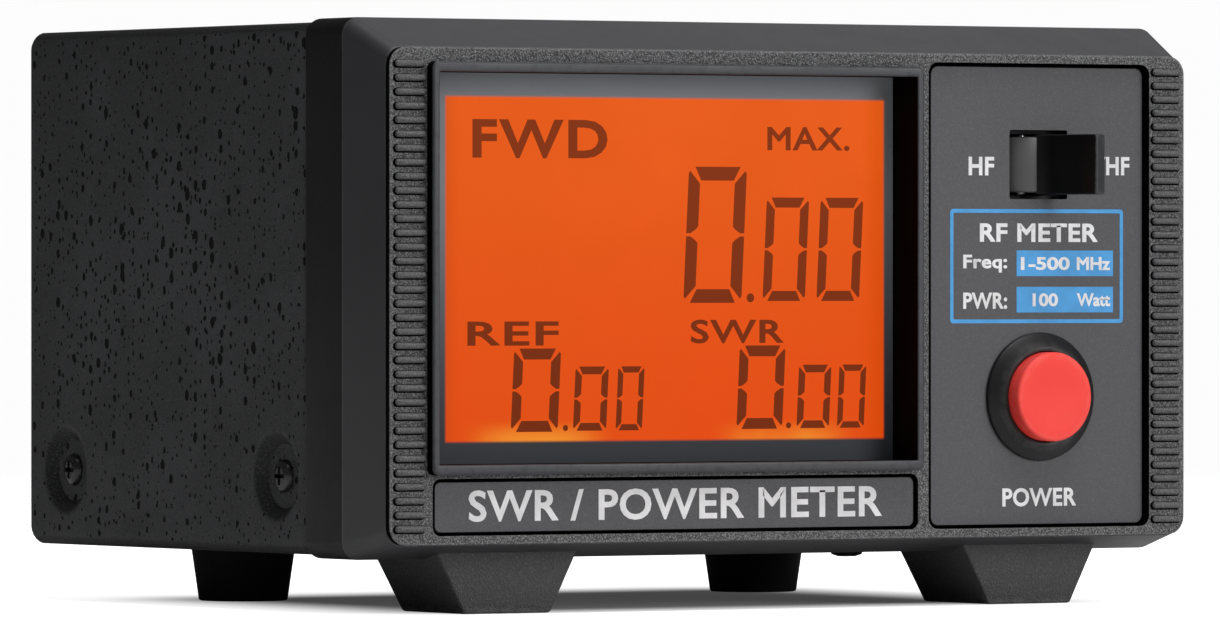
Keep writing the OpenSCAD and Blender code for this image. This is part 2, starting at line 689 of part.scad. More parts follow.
module power_ring() color([0.10, 0.10, 0.11]) placed() {
    bore = cap_r + cap_gap;
    front = plate_y - ring_rise;
    turned(power_x, power_z, [
        [bore, front + 0.25], [bore + 0.25, front], [ring_rim_r, front],
        [ring_r - 0.6, plate_y - ring_edge - 0.3], [ring_r, plate_y - ring_edge],
        [ring_r, plate_y], [barrel_r, plate_y], [barrel_r, plate_y + barrel_l],
        [bore, plate_y + barrel_l]]);
}

module power_button() color([0.86, 0.12, 0.14]) placed() {
    front = plate_y - cap_rise;
    turned(power_x, power_z, concat([[0, front]],
        quarter(cap_r - cap_edge, front + cap_edge, cap_edge, -90, 0),
        [[cap_r, cap_back - cap_travel], [stem_r, cap_back - cap_travel],
        [stem_r, switch_y0 + 3], [0, switch_y0 + 3]]));
}

// coil spring round the stem, drawn at the length it has with the button pressed
spring_r = 3.6;
spring_wire_r = 0.3;
spring_turns = 1.5;
spring_steps = 20;
spring_sides = 8;
spring_y0 = cap_back + fit;
spring_y1 = switch_y0 + 1 - fit;
spring_pitch = (spring_y1 - spring_y0 - 2*spring_wire_r)/spring_turns;

function spring_point(i, j) = let (
    a = 360*i/spring_steps, b = 360*j/spring_sides, r = spring_r + spring_wire_r*cos(b))
    [r*cos(a), spring_wire_r*sin(b) + spring_wire_r + spring_pitch*i/spring_steps, r*sin(a)];

module button_spring() color([0.80, 0.80, 0.82]) placed() {
    rings = round(spring_turns*spring_steps);
    translate([power_x, spring_y0, power_z]) polyhedron(
        points = [for (i = [0:rings], j = [0:spring_sides - 1]) spring_point(i, j)],
        faces = concat(
            [[for (j = [0:spring_sides - 1]) j]],
            [for (i = [0:rings - 1], j = [0:spring_sides - 1]) let (k = (j + 1) % spring_sides)
                [i*spring_sides + k, i*spring_sides + j, (i + 1)*spring_sides + j, (i + 1)*spring_sides + k]],
            [[for (j = [spring_sides - 1:-1:0]) rings*spring_sides + j]]));
}

module power_switch_body() color([0.12, 0.12, 0.13]) placed() difference() {
    block(power_x, power_z, switch_w, switch_w, switch_y0, switch_y1);
    rod_y(power_x, power_z, stem_r + 2, switch_y0 + 1, switch_y0 + 7);
    rod_y(power_x, power_z, stem_r + 0.3, switch_y0 - 1, switch_y0 + 2);
    rod_y(power_x, power_z, spring_r + 1, switch_y0 - 1, switch_y0 + 1);
}

module power_ring_nut() color([0.14, 0.14, 0.15]) placed() difference() {
    rod_y(power_x, power_z, nut_w/2/cos(30), nut_y, nut_y + nut_t, 6);
    rod_y(power_x, power_z, barrel_r + fit, nut_y - 1, nut_y + nut_t + 1);
}

module power_terminals() color([0.85, 0.80, 0.60]) placed()
    for (side = [-1, 1])
        block(power_x + side*4, power_z, 0.8, 2.8, switch_y1, switch_y1 + 5);

// ---- band switch ----

module band_switch_housing() color([0.11, 0.11, 0.12]) placed() difference() {
    block(band_x, band_z, housing_w, housing_h, housing_y0, housing_y1);
    rod_z(band_x, axis_y, band_z - drum_h/2 - drum_gap, band_z + drum_h/2 + drum_gap, drum_r + drum_gap);
    block(band_x, band_z, 2*(drum_r + drum_gap), drum_h + 2*drum_gap, housing_y0 - 1, axis_y);
    rod_z(band_x, axis_y, band_z - housing_h, band_z + housing_h, pin_r + fit/2);
}

module band_lever() color([0.15, 0.15, 0.16]) placed() translate([band_x, axis_y, band_z]) difference() {
    union() {
        rod_z(0, 0, -drum_h/2, drum_h/2, drum_r);
        rotate([0, 0, lever_lean]) difference() {
            block(0, 0, paddle_t, paddle_h, -lever_reach, -drum_r + 0.6);
            for (side = [-1, 1]) translate([side*paddle_t/2, -lever_reach, 0]) rotate([0, 0, 45])
                cube([tip_bevel*sqrt(2), tip_bevel*sqrt(2), 2*paddle_h], center = true);
        }
    }
    rod_z(0, 0, -drum_h, drum_h, pin_r + pin_gap);
}

module lever_pin() color([0.80, 0.80, 0.82]) placed()
    rod_z(band_x, axis_y, band_z - housing_h/2, band_z + housing_h/2, pin_r);

module band_terminals() color([0.85, 0.80, 0.60]) placed()
    for (side = [-1, 1], i = [-1:1])
        block(band_x + side*3, band_z + i*3.5, 0.8, 0.6, housing_y1, panel_board_y + board_t + 1.2);

module control_board() color([0.10, 0.35, 0.18]) placed() difference() {
    block(band_x, band_z, 20, 20, panel_board_y, panel_board_y + board_t);
    for (side = [-1, 1], i = [-1:1])
        block(band_x + side*3, band_z + i*3.5, 0.8 + 2*fit, 0.6 + 2*fit, panel_board_y - 1,
            panel_board_y + board_t + 1);
}

// ---- boards and leads ----

module main_board() color([0.10, 0.35, 0.18]) placed() difference() {
    block(0, main_z + board_t/2, main_w, board_t, main_y, main_y + main_d);
    for (side = [-1, 1], y = standoff_ys)
        rod_z(side*standoff_x, y, main_z - 1, main_top + 1, 1.5);
}

module main_processor() color([0.09, 0.09, 0.10]) placed() {
    translate([-24, main_y + 14, main_top]) cube([12, 12, 1.6]);
    for (side = [-1, 1], i = [-4:4]) {
        translate([-18 + i*1.27 - 0.25, main_y + 20 + side*6.9 - 0.9, main_top]) cube([0.5, 1.8, 0.7]);
        translate([-18 + side*6.9 - 0.9, main_y + 20 + i*1.27 - 0.25, main_top]) cube([1.8, 0.5, 0.7]);
    }
}

module filter_capacitors() color([0.15, 0.20, 0.45]) placed()
    for (i = [0:2]) rod_z(20 + 9*i, main_y + 36, main_top, main_top + 9, 3.15);

module voltage_regulator() color([0.09, 0.09, 0.10]) placed() {
    block(8, main_top + 8, 10, 9, main_y + 30, main_y + 34.5);
    for (i = [-1:1]) block(8 + i*2.54, main_top + 1.75, 0.8, 3.5, main_y + 32, main_y + 32.6);
}

module board_standoffs() color([0.82, 0.72, 0.40]) placed()
    for (side = [-1, 1], y = standoff_ys) difference() {
        rod_z(side*standoff_x, y, tray_top, main_z, standoff_r);
        rod_z(side*standoff_x, y, tray_top + 1, main_z + 1, 1.25);
    }

module board_screws() color([0.75, 0.75, 0.77]) placed()
    for (side = [-1, 1], y = standoff_ys)
        translate([side*standoff_x, y, main_top]) pan_screw(2.6, 1.8, 1.2, board_t + standoff_h - 1.6);

ribbon_w = 22;
ribbon_t = 0.9;
ribbon_bend = 5;
ribbon_z = win_z - holder_h/2 + 8;

module ribbon_cable() color([0.75, 0.75, 0.76]) placed() {
    run = main_y + 3 - ribbon_bend - ribbon_t;
    sweep_x(win_x - 8, win_x - 8 + ribbon_w) {
        translate([board_y1, ribbon_z]) square([run - board_y1, ribbon_t]);
        intersection() {
            translate([run, ribbon_z - ribbon_bend]) difference() {
                circle(r = ribbon_bend + ribbon_t, $fn = arc_fn);
                circle(r = ribbon_bend, $fn = arc_fn);
            }
            translate([run, ribbon_z - ribbon_bend]) square(ribbon_bend + ribbon_t);
        }
        translate([run + ribbon_bend, main_top])
            square([ribbon_t, ribbon_z - ribbon_bend - main_top]);
    }
}

lead_r = 0.7;
lead_bend = 3;

// a lead that runs straight from y0 to y1, turns down and ends at height z1
module lead(x, y0, y1, z0, z1) {
    way = y1 > y0 ? 1 : -1;
    turn = y1 - way*lead_bend;
    rod_y(x, z0, lead_r, min(y0, turn), max(y0, turn), 32);
    translate([x, turn, z0 - lead_bend]) intersection() {
        rotate([0, 90, 0]) rotate_extrude($fn = arc_fn)
            translate([lead_bend, 0]) circle(r = lead_r, $fn = 32);
        translate([-2*lead_r, way > 0 ? 0 : -2*lead_bend, 0]) cube([4*lead_r, 2*lead_bend, 2*lead_bend]);
    }
    translate([x, y1, z1]) cylinder(h = z0 - lead_bend - z1, r = lead_r, $fn = 32);
}

module power_leads() color([0.75, 0.10, 0.10]) placed()
    for (side = [-1, 1]) {
        lead(power_x + 4*side, switch_y1 + 5.2, main_y + main_d/3, power_z, main_top + 0.1);
        lead(2.5*side, panel_y0 - inlet_body_l - 0.2, main_y + main_d - 9, inlet_z, main_top + 0.1);
    }

// ---- sensors and sockets ----

// an open-topped box behind two sockets
module sensor_box(x) difference() {
    block(x, socket_z, sensor_w, sensor_h, sensor_y0, sensor_y1);
    translate([x - sensor_w/2 + sensor_wall, sensor_y0 + sensor_wall, socket_z - sensor_h/2 + sensor_wall])
        cube([sensor_w - 2*sensor_wall, sensor_d - 2*sensor_wall, sensor_h]);
    for (side = [-1, 1])
        rod_y(x + side*(socket_out_x - socket_in_x)/2, socket_z, neck_r + slip, sensor_y1 - 2*sensor_wall,
            sensor_y1 + 1);
    for (side = [-1, 1], u = [-1, 1], v = [-1, 1])
        rod_y(x + side*(socket_out_x - socket_in_x)/2 + u*flange_pitch/2, socket_z + v*flange_pitch/2, 1.5,
            sensor_y1 - 2*sensor_wall, sensor_y1 + 1);
}

module sensor_lid(x)
    translate([x - sensor_w/2, sensor_y0, socket_z + sensor_h/2]) cube([sensor_w, sensor_d, sheet_t]);

module hf_sensor_box() color([0.74, 0.74, 0.72]) placed() sensor_box(-sensor_x);
module hf_sensor_lid() color([0.70, 0.70, 0.68]) placed() sensor_lid(-sensor_x);
module vhf_sensor_box() color([0.74, 0.74, 0.72]) placed() sensor_box(sensor_x);
module vhf_sensor_lid() color([0.70, 0.70, 0.68]) placed() sensor_lid(sensor_x);

module socket_shell(x) difference() {
    union() {
        rounded_slab(x, socket_z, flange_w, flange_w, 1.5, flange_y, thread_y0);
        rod_y(x, socket_z, socket_r, thread_y0 - 1, thread_y1);
        rod_y(x, socket_z, neck_r, neck_y, flange_y + 1);
    }
    rod_y(x, socket_z, shell_bore_r, flange_y + 1, thread_y1 + 1);
    rod_y(x, socket_z, neck_r - 1.6, neck_y - 1, flange_y + 2);
    for (u = [-1, 1], v = [-1, 1])
        rod_y(x + u*flange_pitch/2, socket_z + v*flange_pitch/2, flange_hole_r, flange_y - 1, thread_y0 + 1);
}

module hf_tx_socket() color([0.80, 0.80, 0.80]) placed() socket_shell(socket_xs[0]);
module hf_antenna_socket() color([0.80, 0.80, 0.80]) placed() socket_shell(socket_xs[1]);
module vhf_tx_socket() color([0.80, 0.80, 0.80]) placed() socket_shell(socket_xs[2]);
module vhf_antenna_socket() color([0.80, 0.80, 0.80]) placed() socket_shell(socket_xs[3]);

contact_r = contact_bore_r + 0.7;
insulator_y1 = thread_y0 + 5;
contact_y1 = insulator_y1 + 1;

module socket_insulators() color([0.95, 0.95, 0.93]) placed()
    for (x = socket_xs) difference() {
        union() {
            rod_y(x, socket_z, shell_bore_r - fit, flange_y + 1 + fit, insulator_y1);
            rod_y(x, socket_z, neck_r - 1.6 - fit, neck_y + 0.5, flange_y + 1 + 2*fit);
        }
        rod_y(x, socket_z, contact_r + fit/2, flange_y + 1.5, insulator_y1 + 1);
        rod_y(x, socket_z, line_r + fit/2, neck_y - 1, flange_y + 2);
    }

module socket_contacts() color([0.90, 0.80, 0.50]) placed()
    for (x = socket_xs) difference() {
        union() {
            rod_y(x, socket_z, contact_r, flange_y + 1.5 + fit, contact_y1);
            rod_y(x, socket_z, line_r, line_y + line_r, flange_y + 2.5);
        }
        rod_y(x, socket_z, contact_bore_r, flange_y + 2.5, contact_y1 + 1);
        for (a = [0, 90]) translate([x, contact_y1, socket_z]) rotate([0, a, 0])
            cube([0.5, 5, 8], center = true);
    }

module socket_screws() color([0.78, 0.78, 0.80]) placed() {
    for (x = socket_xs, u = [-1, 1], v = [-1, 1])
        translate([x + u*flange_pitch/2, thread_y0, socket_z + v*flange_pitch/2]) rotate([-90, 0, 0])
            pan_screw(2.7, 1.8, 1.45, flange_t + sheet_t + slip + sensor_wall + 1);
    for (side = [-1, 1])
        translate([side*rear_tab_x, panel_y1, rear_tab_z]) rotate([-90, 0, 0])
            pan_screw(2.7, 1.8, 1.45, 2*sheet_t + 1.5);
}

// conductor that joins the two contacts of one sensor
module through_line(x) {
    half = (socket_out_x - socket_in_x)/2 + line_r;
    rod_x(x - half, x + half, line_y, socket_z, line_r);
}

module hf_through_line() color([0.80, 0.50, 0.25]) placed() through_line(-sensor_x);

module hf_current_core() color([0.22, 0.22, 0.23]) placed() {
    translate([-sensor_x - 3, line_y, socket_z]) rotate([0, 90, 0]) difference() {
        cylinder(h = 6, r = 6.3, $fn = arc_fn);
        translate([0, 0, -1]) cylinder(h = 8, r = 3.4, $fn = arc_fn);
    }
}

module vhf_coupled_line() color([0.80, 0.50, 0.25]) placed() {
    through_line(sensor_x);
    for (side = [-1, 1])
        block(sensor_x, socket_z + side*4, 18, 0.8, line_y - 2.5, line_y + 2.5);
}

module power_inlet() color([0.10, 0.10, 0.11]) placed() {
    difference() {
        union() {
            rod_y(0, inlet_z, inlet_r + 1.2, panel_y1, panel_y1 + inlet_flange_t);
            rod_y(0, inlet_z, inlet_r, panel_y0 - inlet_body_l, panel_y1 + 0.5);
        }
        rod_y(0, inlet_z, 3, panel_y1 - 8, panel_y1 + inlet_flange_t + 1);
    }
    rod_y(0, inlet_z, 1.05, panel_y1 - 8.5, panel_y1);
}

module inlet_nut() color([0.78, 0.78, 0.80]) placed() difference() {
    rod_y(0, inlet_z, 7.6, panel_y0 - fit - 2, panel_y0 - fit, 6);
    rod_y(0, inlet_z, inlet_r + fit, panel_y0 - 4, panel_y0 + 1);
}

// ---- screws and feet ----

module side_screws() color([0.12, 0.12, 0.13]) placed()
    for (side = [-1, 1], y = screw_ys)
        translate([side*(sleeve_w/2 - dimple_d), y, screw_z]) rotate([0, side*90, 0])
            pan_screw(2.35, 1.9, 1.4, sleeve_wall + sheet_t + 1.6);

// screws through the bottom of the sleeve into the tray, and the tray's tab screws
module case_screws() color([0.15, 0.15, 0.16]) placed()
    for (side = [-1, 1]) {
        translate([side*case_screw_x, case_screw_y, sleeve_z0]) rotate([180, 0, 0])
            pan_screw(2.45, 1.6, 1.4, sleeve_wall + sheet_t + 1.5);
        translate([side*tab_x, tray_y0 + sheet_t, tab_z]) rotate([-90, 0, 0])
            pan_screw(2.4, 1.6, tab_screw_r - 0.01, sheet_t + 6);
    }

foot_screw_sink = 4;

module front_foot(x) {
    lean = (front_foot_w - front_foot_base)/2/foot_h;
    top = foot_h + slope*(chamfer_d - front_foot_y);
    y1 = front_foot_y + front_foot_d;
    soft = 0.5;
    difference() {
        intersection() {
            slab(front_foot_y, y1) translate([x, 0]) polygon([
                [-front_foot_base/2 + soft, 0], [front_foot_base/2 - soft, 0],
                [front_foot_base/2 + soft*lean, soft], [front_foot_base/2 + lean*top, top],
                [-front_foot_base/2 - lean*top, top], [-front_foot_base/2 - soft*lean, soft]]);
            sweep_x(x - front_foot_w, x + front_foot_w) polygon([
                [front_foot_y, soft], [front_foot_y + soft, 0], [y1 - soft, 0], [y1, soft],
                [y1, foot_h], [chamfer_d, foot_h], [front_foot_y, top]]);
        }
        rod_z(x, front_foot_y + front_foot_d/2, -1, foot_screw_sink, 3);
        rod_z(x, front_foot_y + front_foot_d/2, -1, top + 1, 1.6);
    }
}

module left_front_foot() color([0.20, 0.20, 0.21]) placed() front_foot(-foot_x);
module right_front_foot() color([0.20, 0.20, 0.21]) placed() front_foot(foot_x);

module rear_feet() color([0.08, 0.08, 0.08]) placed()
    for (side = [-1, 1]) translate([side*foot_x, rear_foot_y, 0]) rotate_extrude($fn = arc_fn)
        polygon([[1.6, foot_screw_sink], [3, foot_screw_sink], [3, 0], [rear_foot_base_r - 0.4, 0],
            [rear_foot_base_r, 0.4], [rear_foot_r, sleeve_z0], [1.6, sleeve_z0]]);

module foot_screws() color([0.75, 0.75, 0.77]) placed()
    for (side = [-1, 1]) {
        translate([side*foot_x, front_foot_y + front_foot_d/2, foot_screw_sink]) rotate([180, 0, 0])
            pan_screw(2.6, 1.8, tab_screw_r - 0.01, foot_h - foot_screw_sink + bezel_wall + 3.5);
        translate([side*foot_x, rear_foot_y, foot_screw_sink]) rotate([180, 0, 0])
            pan_screw(2.6, 1.8, 1.4, sleeve_z0 - foot_screw_sink + sleeve_wall + sheet_t + 1);
    }

front_bezel();
sleeve_cover();
chassis_tray();
rear_panel();
control_plate();
title_plate();
display_frame();
lcd_front_film();
lcd_front_glass();
lcd_rear_glass();
lcd_rear_film();
light_guide();
reflector_sheet();
backlight_lamps();
lcd_holder();
contact_strips();
display_board();
display_driver();
display_screws();
power_ring();
power_button();
button_spring();
power_switch_body();
power_ring_nut();
power_terminals();
band_switch_housing();
band_lever();
lever_pin();
band_terminals();
control_board();
main_board();
main_processor();
filter_capacitors();
voltage_regulator();
board_standoffs();
board_screws();
ribbon_cable();
power_leads();
hf_sensor_box();
hf_sensor_lid();
vhf_sensor_box();
vhf_sensor_lid();
hf_tx_socket();
hf_antenna_socket();
vhf_tx_socket();
vhf_antenna_socket();
socket_insulators();
socket_contacts();
socket_screws();
hf_through_line();
hf_current_core();
vhf_coupled_line();
power_inlet();
inlet_nut();
side_screws();
case_screws();
left_front_foot();
right_front_foot();
rear_feet();
foot_screws();
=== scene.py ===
import json
import math
import bpy
import bmesh
import numpy as np
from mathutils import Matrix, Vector
from mathutils.geometry import tessellate_polygon


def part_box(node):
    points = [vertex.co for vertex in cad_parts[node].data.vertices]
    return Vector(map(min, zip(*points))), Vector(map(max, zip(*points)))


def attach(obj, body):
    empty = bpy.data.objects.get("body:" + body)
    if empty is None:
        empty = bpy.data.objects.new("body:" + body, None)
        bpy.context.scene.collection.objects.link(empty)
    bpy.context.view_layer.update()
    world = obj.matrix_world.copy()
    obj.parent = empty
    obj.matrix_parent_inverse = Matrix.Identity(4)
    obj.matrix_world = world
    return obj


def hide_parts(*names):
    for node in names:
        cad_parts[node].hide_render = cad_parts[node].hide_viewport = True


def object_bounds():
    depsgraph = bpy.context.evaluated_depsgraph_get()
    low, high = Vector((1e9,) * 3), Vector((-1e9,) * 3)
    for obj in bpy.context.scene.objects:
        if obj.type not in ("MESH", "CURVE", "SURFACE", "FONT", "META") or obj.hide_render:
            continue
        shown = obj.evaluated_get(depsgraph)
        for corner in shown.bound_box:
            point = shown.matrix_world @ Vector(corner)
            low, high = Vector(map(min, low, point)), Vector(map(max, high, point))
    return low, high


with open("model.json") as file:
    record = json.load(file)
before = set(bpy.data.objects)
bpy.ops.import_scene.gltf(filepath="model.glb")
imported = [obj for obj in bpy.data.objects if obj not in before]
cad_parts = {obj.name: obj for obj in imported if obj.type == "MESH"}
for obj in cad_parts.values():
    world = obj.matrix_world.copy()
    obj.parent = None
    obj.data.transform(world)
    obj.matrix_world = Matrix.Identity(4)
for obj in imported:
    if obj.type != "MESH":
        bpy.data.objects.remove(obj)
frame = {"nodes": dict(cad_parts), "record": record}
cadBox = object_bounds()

mm = 0.001
toRadians = math.pi/180

# camera, lights and floor

cameraView = dict(place=(-0.8197, -1.3144, 0.04575), heading=32.0, pitch=-0.186, lens=321.4, sensor=36.0)
studio = dict(
    target=(0.0, 0.0, 0.04),
    keyPlace=(0.75, -1.25, 0.50), keySize=0.9, keyPower=10.6,
    topPlace=(0.05, -0.35, 1.15), topSize=0.9, topPower=11.0,
    sidePlace=(-1.1, -0.9, 0.55), sideSize=0.5, sidePower=0.58,
    backPlace=(0.85, 0.95, 0.98), backSize=0.8, backPower=0.9,
    backdrop=(0.98, 0.98, 0.98), ambient=(0.06, 0.06, 0.063),
    floorColour=(0.80, 0.80, 0.80), floorRough=0.9, floorGlow=0.9, floorGlowReach=0.030, floorShade=0.06,
    floorInset=0.030, floorRadius=1.1, floorFade=0.7)


def makeCamera(view):
    lens = bpy.data.cameras.new("camera")
    lens.lens = view["lens"]
    lens.sensor_width = view["sensor"]
    lens.clip_start = 0.05
    lens.clip_end = 60.0
    camera = bpy.data.objects.new("camera", lens)
    # the heading turns from +Y towards +X, and the pitch is upwards
    heading, pitch = view["heading"]*toRadians, view["pitch"]*toRadians
    forward = Vector((math.sin(heading)*math.cos(pitch), math.cos(heading)*math.cos(pitch), math.sin(pitch)))
    camera.location = view["place"]
    camera.rotation_mode = "QUATERNION"
    camera.rotation_quaternion = forward.to_track_quat("-Z", "Y")
    bpy.context.scene.collection.objects.link(camera)
    bpy.context.scene.camera = camera


def areaLight(name):
    # a round light named after its place, size and power in the studio's values
    lamp = bpy.data.lights.new(name + "Light", "AREA")
    lamp.shape = "DISK"
    lamp.size = studio[name + "Size"]
    lamp.energy = studio[name + "Power"]
    holder = bpy.data.objects.new(name + "Light", lamp)
    holder.location = studio[name + "Place"]
    holder.rotation_mode = "QUATERNION"
    holder.rotation_quaternion = (Vector(studio["target"]) - holder.location).to_track_quat("-Z", "Y")
    bpy.context.scene.collection.objects.link(holder)


makeCamera(cameraView)
for name in ("key", "top", "side", "back"):
    areaLight(name)
bpy.context.scene.view_settings.view_transform = "Standard"
print("camera and lights")

# shader helpers


def feed(tree, node, inputs):
    # each input by its name or number: a socket is linked, and anything else becomes its value
    for key, value in inputs.items():
        if isinstance(value, bpy.types.NodeSocket):
            tree.links.new(value, node.inputs[key])
        else:
            node.inputs[key].default_value = value


def add(tree, kind, inputs, **settings):
    made = tree.nodes.new(kind)
    for key, value in settings.items():
        setattr(made, key, value)
    feed(tree, made, inputs)
    return made


def calc(tree, operation, a, b=0.0, c=0.0):
    return add(tree, "ShaderNodeMath", {0: a, 1: b, 2: c}, operation=operation).outputs[0]


def ramp(tree, value, low, high, outLow=0.0, outHigh=1.0):
    inputs = {"Value": value, "From Min": low, "From Max": high, "To Min": outLow, "To Max": outHigh}
    return add(tree, "ShaderNodeMapRange", inputs, interpolation_type="SMOOTHSTEP").outputs[0]


def noise(tree, place, scale, detail, **inputs):
    inputs = {"Vector": place, "Scale": scale, "Detail": detail, **inputs}
    return add(tree, "ShaderNodeTexNoise", inputs).outputs


def blendColours(tree, share, a, b):
    return add(tree, "ShaderNodeMix", {0: share, 6: a, 7: b}, data_type="RGBA").outputs[2]


def splitVector(tree, vector):
    return add(tree, "ShaderNodeSeparateXYZ", {0: vector}).outputs


def changed(tree, operation, vector, by):
    return add(tree, "ShaderNodeVectorMath", {0: vector, 1: by}, operation=operation).outputs[0]


def colour(values):
    # red, green and blue, or one number for grey, with alpha
    return (*np.broadcast_to(values, 3).tolist(), 1.0)


# effects that several materials share; Size and Spacing are in millimetres


def newGroup(name, inputs, outputs):
    # a number makes a float input, and a triple or None a vector input; each output is a float
    group = bpy.data.node_groups.new(name, "ShaderNodeTree")
    for label, start in inputs.items():
        kind = "NodeSocketFloat" if isinstance(start, float) else "NodeSocketVector"
        socket = group.interface.new_socket(name=label, in_out="INPUT", socket_type=kind)
        if start is not None:
            socket.default_value = start
    for label in outputs:
        group.interface.new_socket(name=label, in_out="OUTPUT", socket_type="NodeSocketFloat")
    return group, group.nodes.new("NodeGroupInput").outputs, group.nodes.new("NodeGroupOutput")


def perMetre(group, size):
    # the texture scale that gives features of a size in millimetres
    return calc(group, "DIVIDE", 1/mm, size)


grainShape = dict(cellShare=-0.7, fineness=1.6, speckFrom=0.50, speckTo=0.70)


def mouldedGrain():
    # leathery grain of a moulded face: cells of the given size with noise on them, whose crests are pale
    g = grainShape
    group, given, out = newGroup("mouldedGrain", dict(Vector=None, Size=0.3, Speck=0.5),
        ["Height", "Speckle"])
    scale = perMetre(group, given["Size"])
    cells = add(group, "ShaderNodeTexVoronoi", {"Vector": given["Vector"], "Scale": scale}, feature="F1")
    fine = noise(group, given["Vector"], calc(group, "MULTIPLY", scale, g["fineness"]), 3.0)[0]
    cellHeight = calc(group, "MULTIPLY", cells.outputs["Distance"], g["cellShare"])
    speckle = ramp(group, fine, g["speckFrom"], g["speckTo"])
    feed(group, out, {"Height": calc(group, "ADD", cellHeight, fine),
        "Speckle": calc(group, "MULTIPLY", speckle, given["Speck"])})
    return group


pitShape = dict(raggedScale=1300.0, raggedShift=(0.5*mm, 0.8*mm, 0.0), fewLarge=1.7, wallFrom=-0.005,
    wallTo=0.025, rimFrom=-0.06)


def pittedCoat():
    # pits of a spattered coat: points scattered over the first two coordinates, drawn out along the second,
    # each with its own reach, so that most are small and a few are large; noise makes their outlines ragged
    p = pitShape
    group, given, out = newGroup("pittedCoat", dict(Vector=None, Spacing=3.0, Stretch=0.55, Reach=0.22),
        ["Pit", "Rim"])
    ragged = noise(group, given["Vector"], p["raggedScale"], 2.0)["Color"]
    moved = changed(group, "ADD", given["Vector"], changed(group, "MULTIPLY", ragged, p["raggedShift"]))
    shrink = add(group, "ShaderNodeCombineXYZ", {0: 1.0, 1: given["Stretch"], 2: 1.0}).outputs[0]
    cells = add(group, "ShaderNodeTexVoronoi", {"Vector": changed(group, "MULTIPLY", moved, shrink),
        "Scale": perMetre(group, given["Spacing"])}, feature="F1", voronoi_dimensions="2D").outputs
    chance = add(group, "ShaderNodeSeparateColor", {0: cells["Color"]}).outputs[0]
    reach = calc(group, "MULTIPLY", calc(group, "POWER", chance, p["fewLarge"]), given["Reach"])
    inside = calc(group, "SUBTRACT", reach, cells["Distance"])
    feed(group, out, {"Pit": ramp(group, inside, p["wallFrom"], p["wallTo"]),
        "Rim": ramp(group, inside, p["rimFrom"], 0.0)})
    return group


def slowBlotches():
    # slow change of shade over a surface, from -1 to 1
    group, given, out = newGroup("slowBlotches", dict(Vector=None, Size=12.0), ["Shade"])
    cloud = noise(group, given["Vector"], perMetre(group, given["Size"]), 4.0, Roughness=0.6)[0]
    feed(group, out, {"Shade": ramp(group, cloud, 0.3, 0.7, -1.0, 1.0)})
    return group


dustShape = dict(scale=260.0, upFrom=0.35, upTo=0.95, patchFrom=0.45, patchTo=0.75)


def settledDust():
    # fine dust in patches on what faces upwards
    d = dustShape
    group, given, out = newGroup("settledDust", dict(Vector=None, Normal=None, Amount=0.3), ["Dust"])
    up = splitVector(group, given["Normal"])[2]
    cloud = noise(group, given["Vector"], d["scale"], 6.0)[0]
    lying = calc(group, "MULTIPLY", ramp(group, up, d["upFrom"], d["upTo"]),
        ramp(group, cloud, d["patchFrom"], d["patchTo"]))
    feed(group, out, {"Dust": calc(group, "MULTIPLY", lying, given["Amount"])})
    return group


wearShape = dict(scale=700.0, evenShare=0.45, wearFrom=0.35)


def rubbedEdge():
    # wear where the edge attribute is high, broken up by noise
    w = wearShape
    group, given, out = newGroup("rubbedEdge", dict(Vector=None, Edge=0.0, Amount=0.5), ["Wear"])
    cloud = noise(group, given["Vector"], w["scale"], 5.0)[0]
    broken = calc(group, "ADD", ramp(group, cloud, 0.25, 0.75), w["evenShare"])
    rubbed = ramp(group, calc(group, "MULTIPLY", given["Edge"], broken), w["wearFrom"], 1.0)
    feed(group, out, {"Wear": calc(group, "MULTIPLY", rubbed, given["Amount"])})
    return group


def drawnLines():
    # fine lines of drawn or turned metal, long in the direction where Along is small
    group, given, out = newGroup("drawnLines", dict(Vector=None, Along=(1.0, 1.0, 0.05), Size=0.15),
        ["Height"])
    flat = changed(group, "MULTIPLY", given["Vector"], given["Along"])
    feed(group, out, {"Height": noise(group, flat, perMetre(group, given["Size"]), 3.0)[0]})
    return group


effects = {"grain": mouldedGrain(), "pits": pittedCoat(), "blotches": slowBlotches(), "dust": settledDust(),
    "edge": rubbedEdge(), "lines": drawnLines()}


def placeEffect(tree, name, place, **inputs):
    return add(tree, "ShaderNodeGroup", {"Vector": place, **inputs}, node_tree=effects[name]).outputs


def startMaterial(name, look):
    # a new material, returned with its tree, its Principled shader and the Object coordinates
    material = bpy.data.materials.new(name)
    material.use_nodes = True
    tree = material.node_tree
    shader = tree.nodes["Principled BSDF"]
    feed(tree, shader, {"Metallic": look.get("metal", 0.0), "IOR": look.get("ior", 1.5),
        "Specular IOR Level": look.get("gloss", 0.5)})
    place = tree.nodes.new("ShaderNodeTexCoord").outputs["Object"]
    return material, tree, shader, place


def connectBump(tree, shader, height, look):
    bump = add(tree, "ShaderNodeBump", {"Height": height, "Strength": look["bump"],
        "Distance": look["bumpDepth"]*mm})
    feed(tree, shader, {"Normal": bump.outputs[0]})


plainUsual = dict(rough=0.5, roughVary=0.05, grain=0.3, speck=0.0, speckColour=(0.4, 0.4, 0.41), bump=0.2,
    bumpDepth=0.10, blotch=14.0, vary=0.5, grainTone=0.0, grainMiddle=0.22, contrast=0.18, wear=0.5,
    wornRough=-0.12, dust=0.1, dustColour=(0.35, 0.34, 0.32))


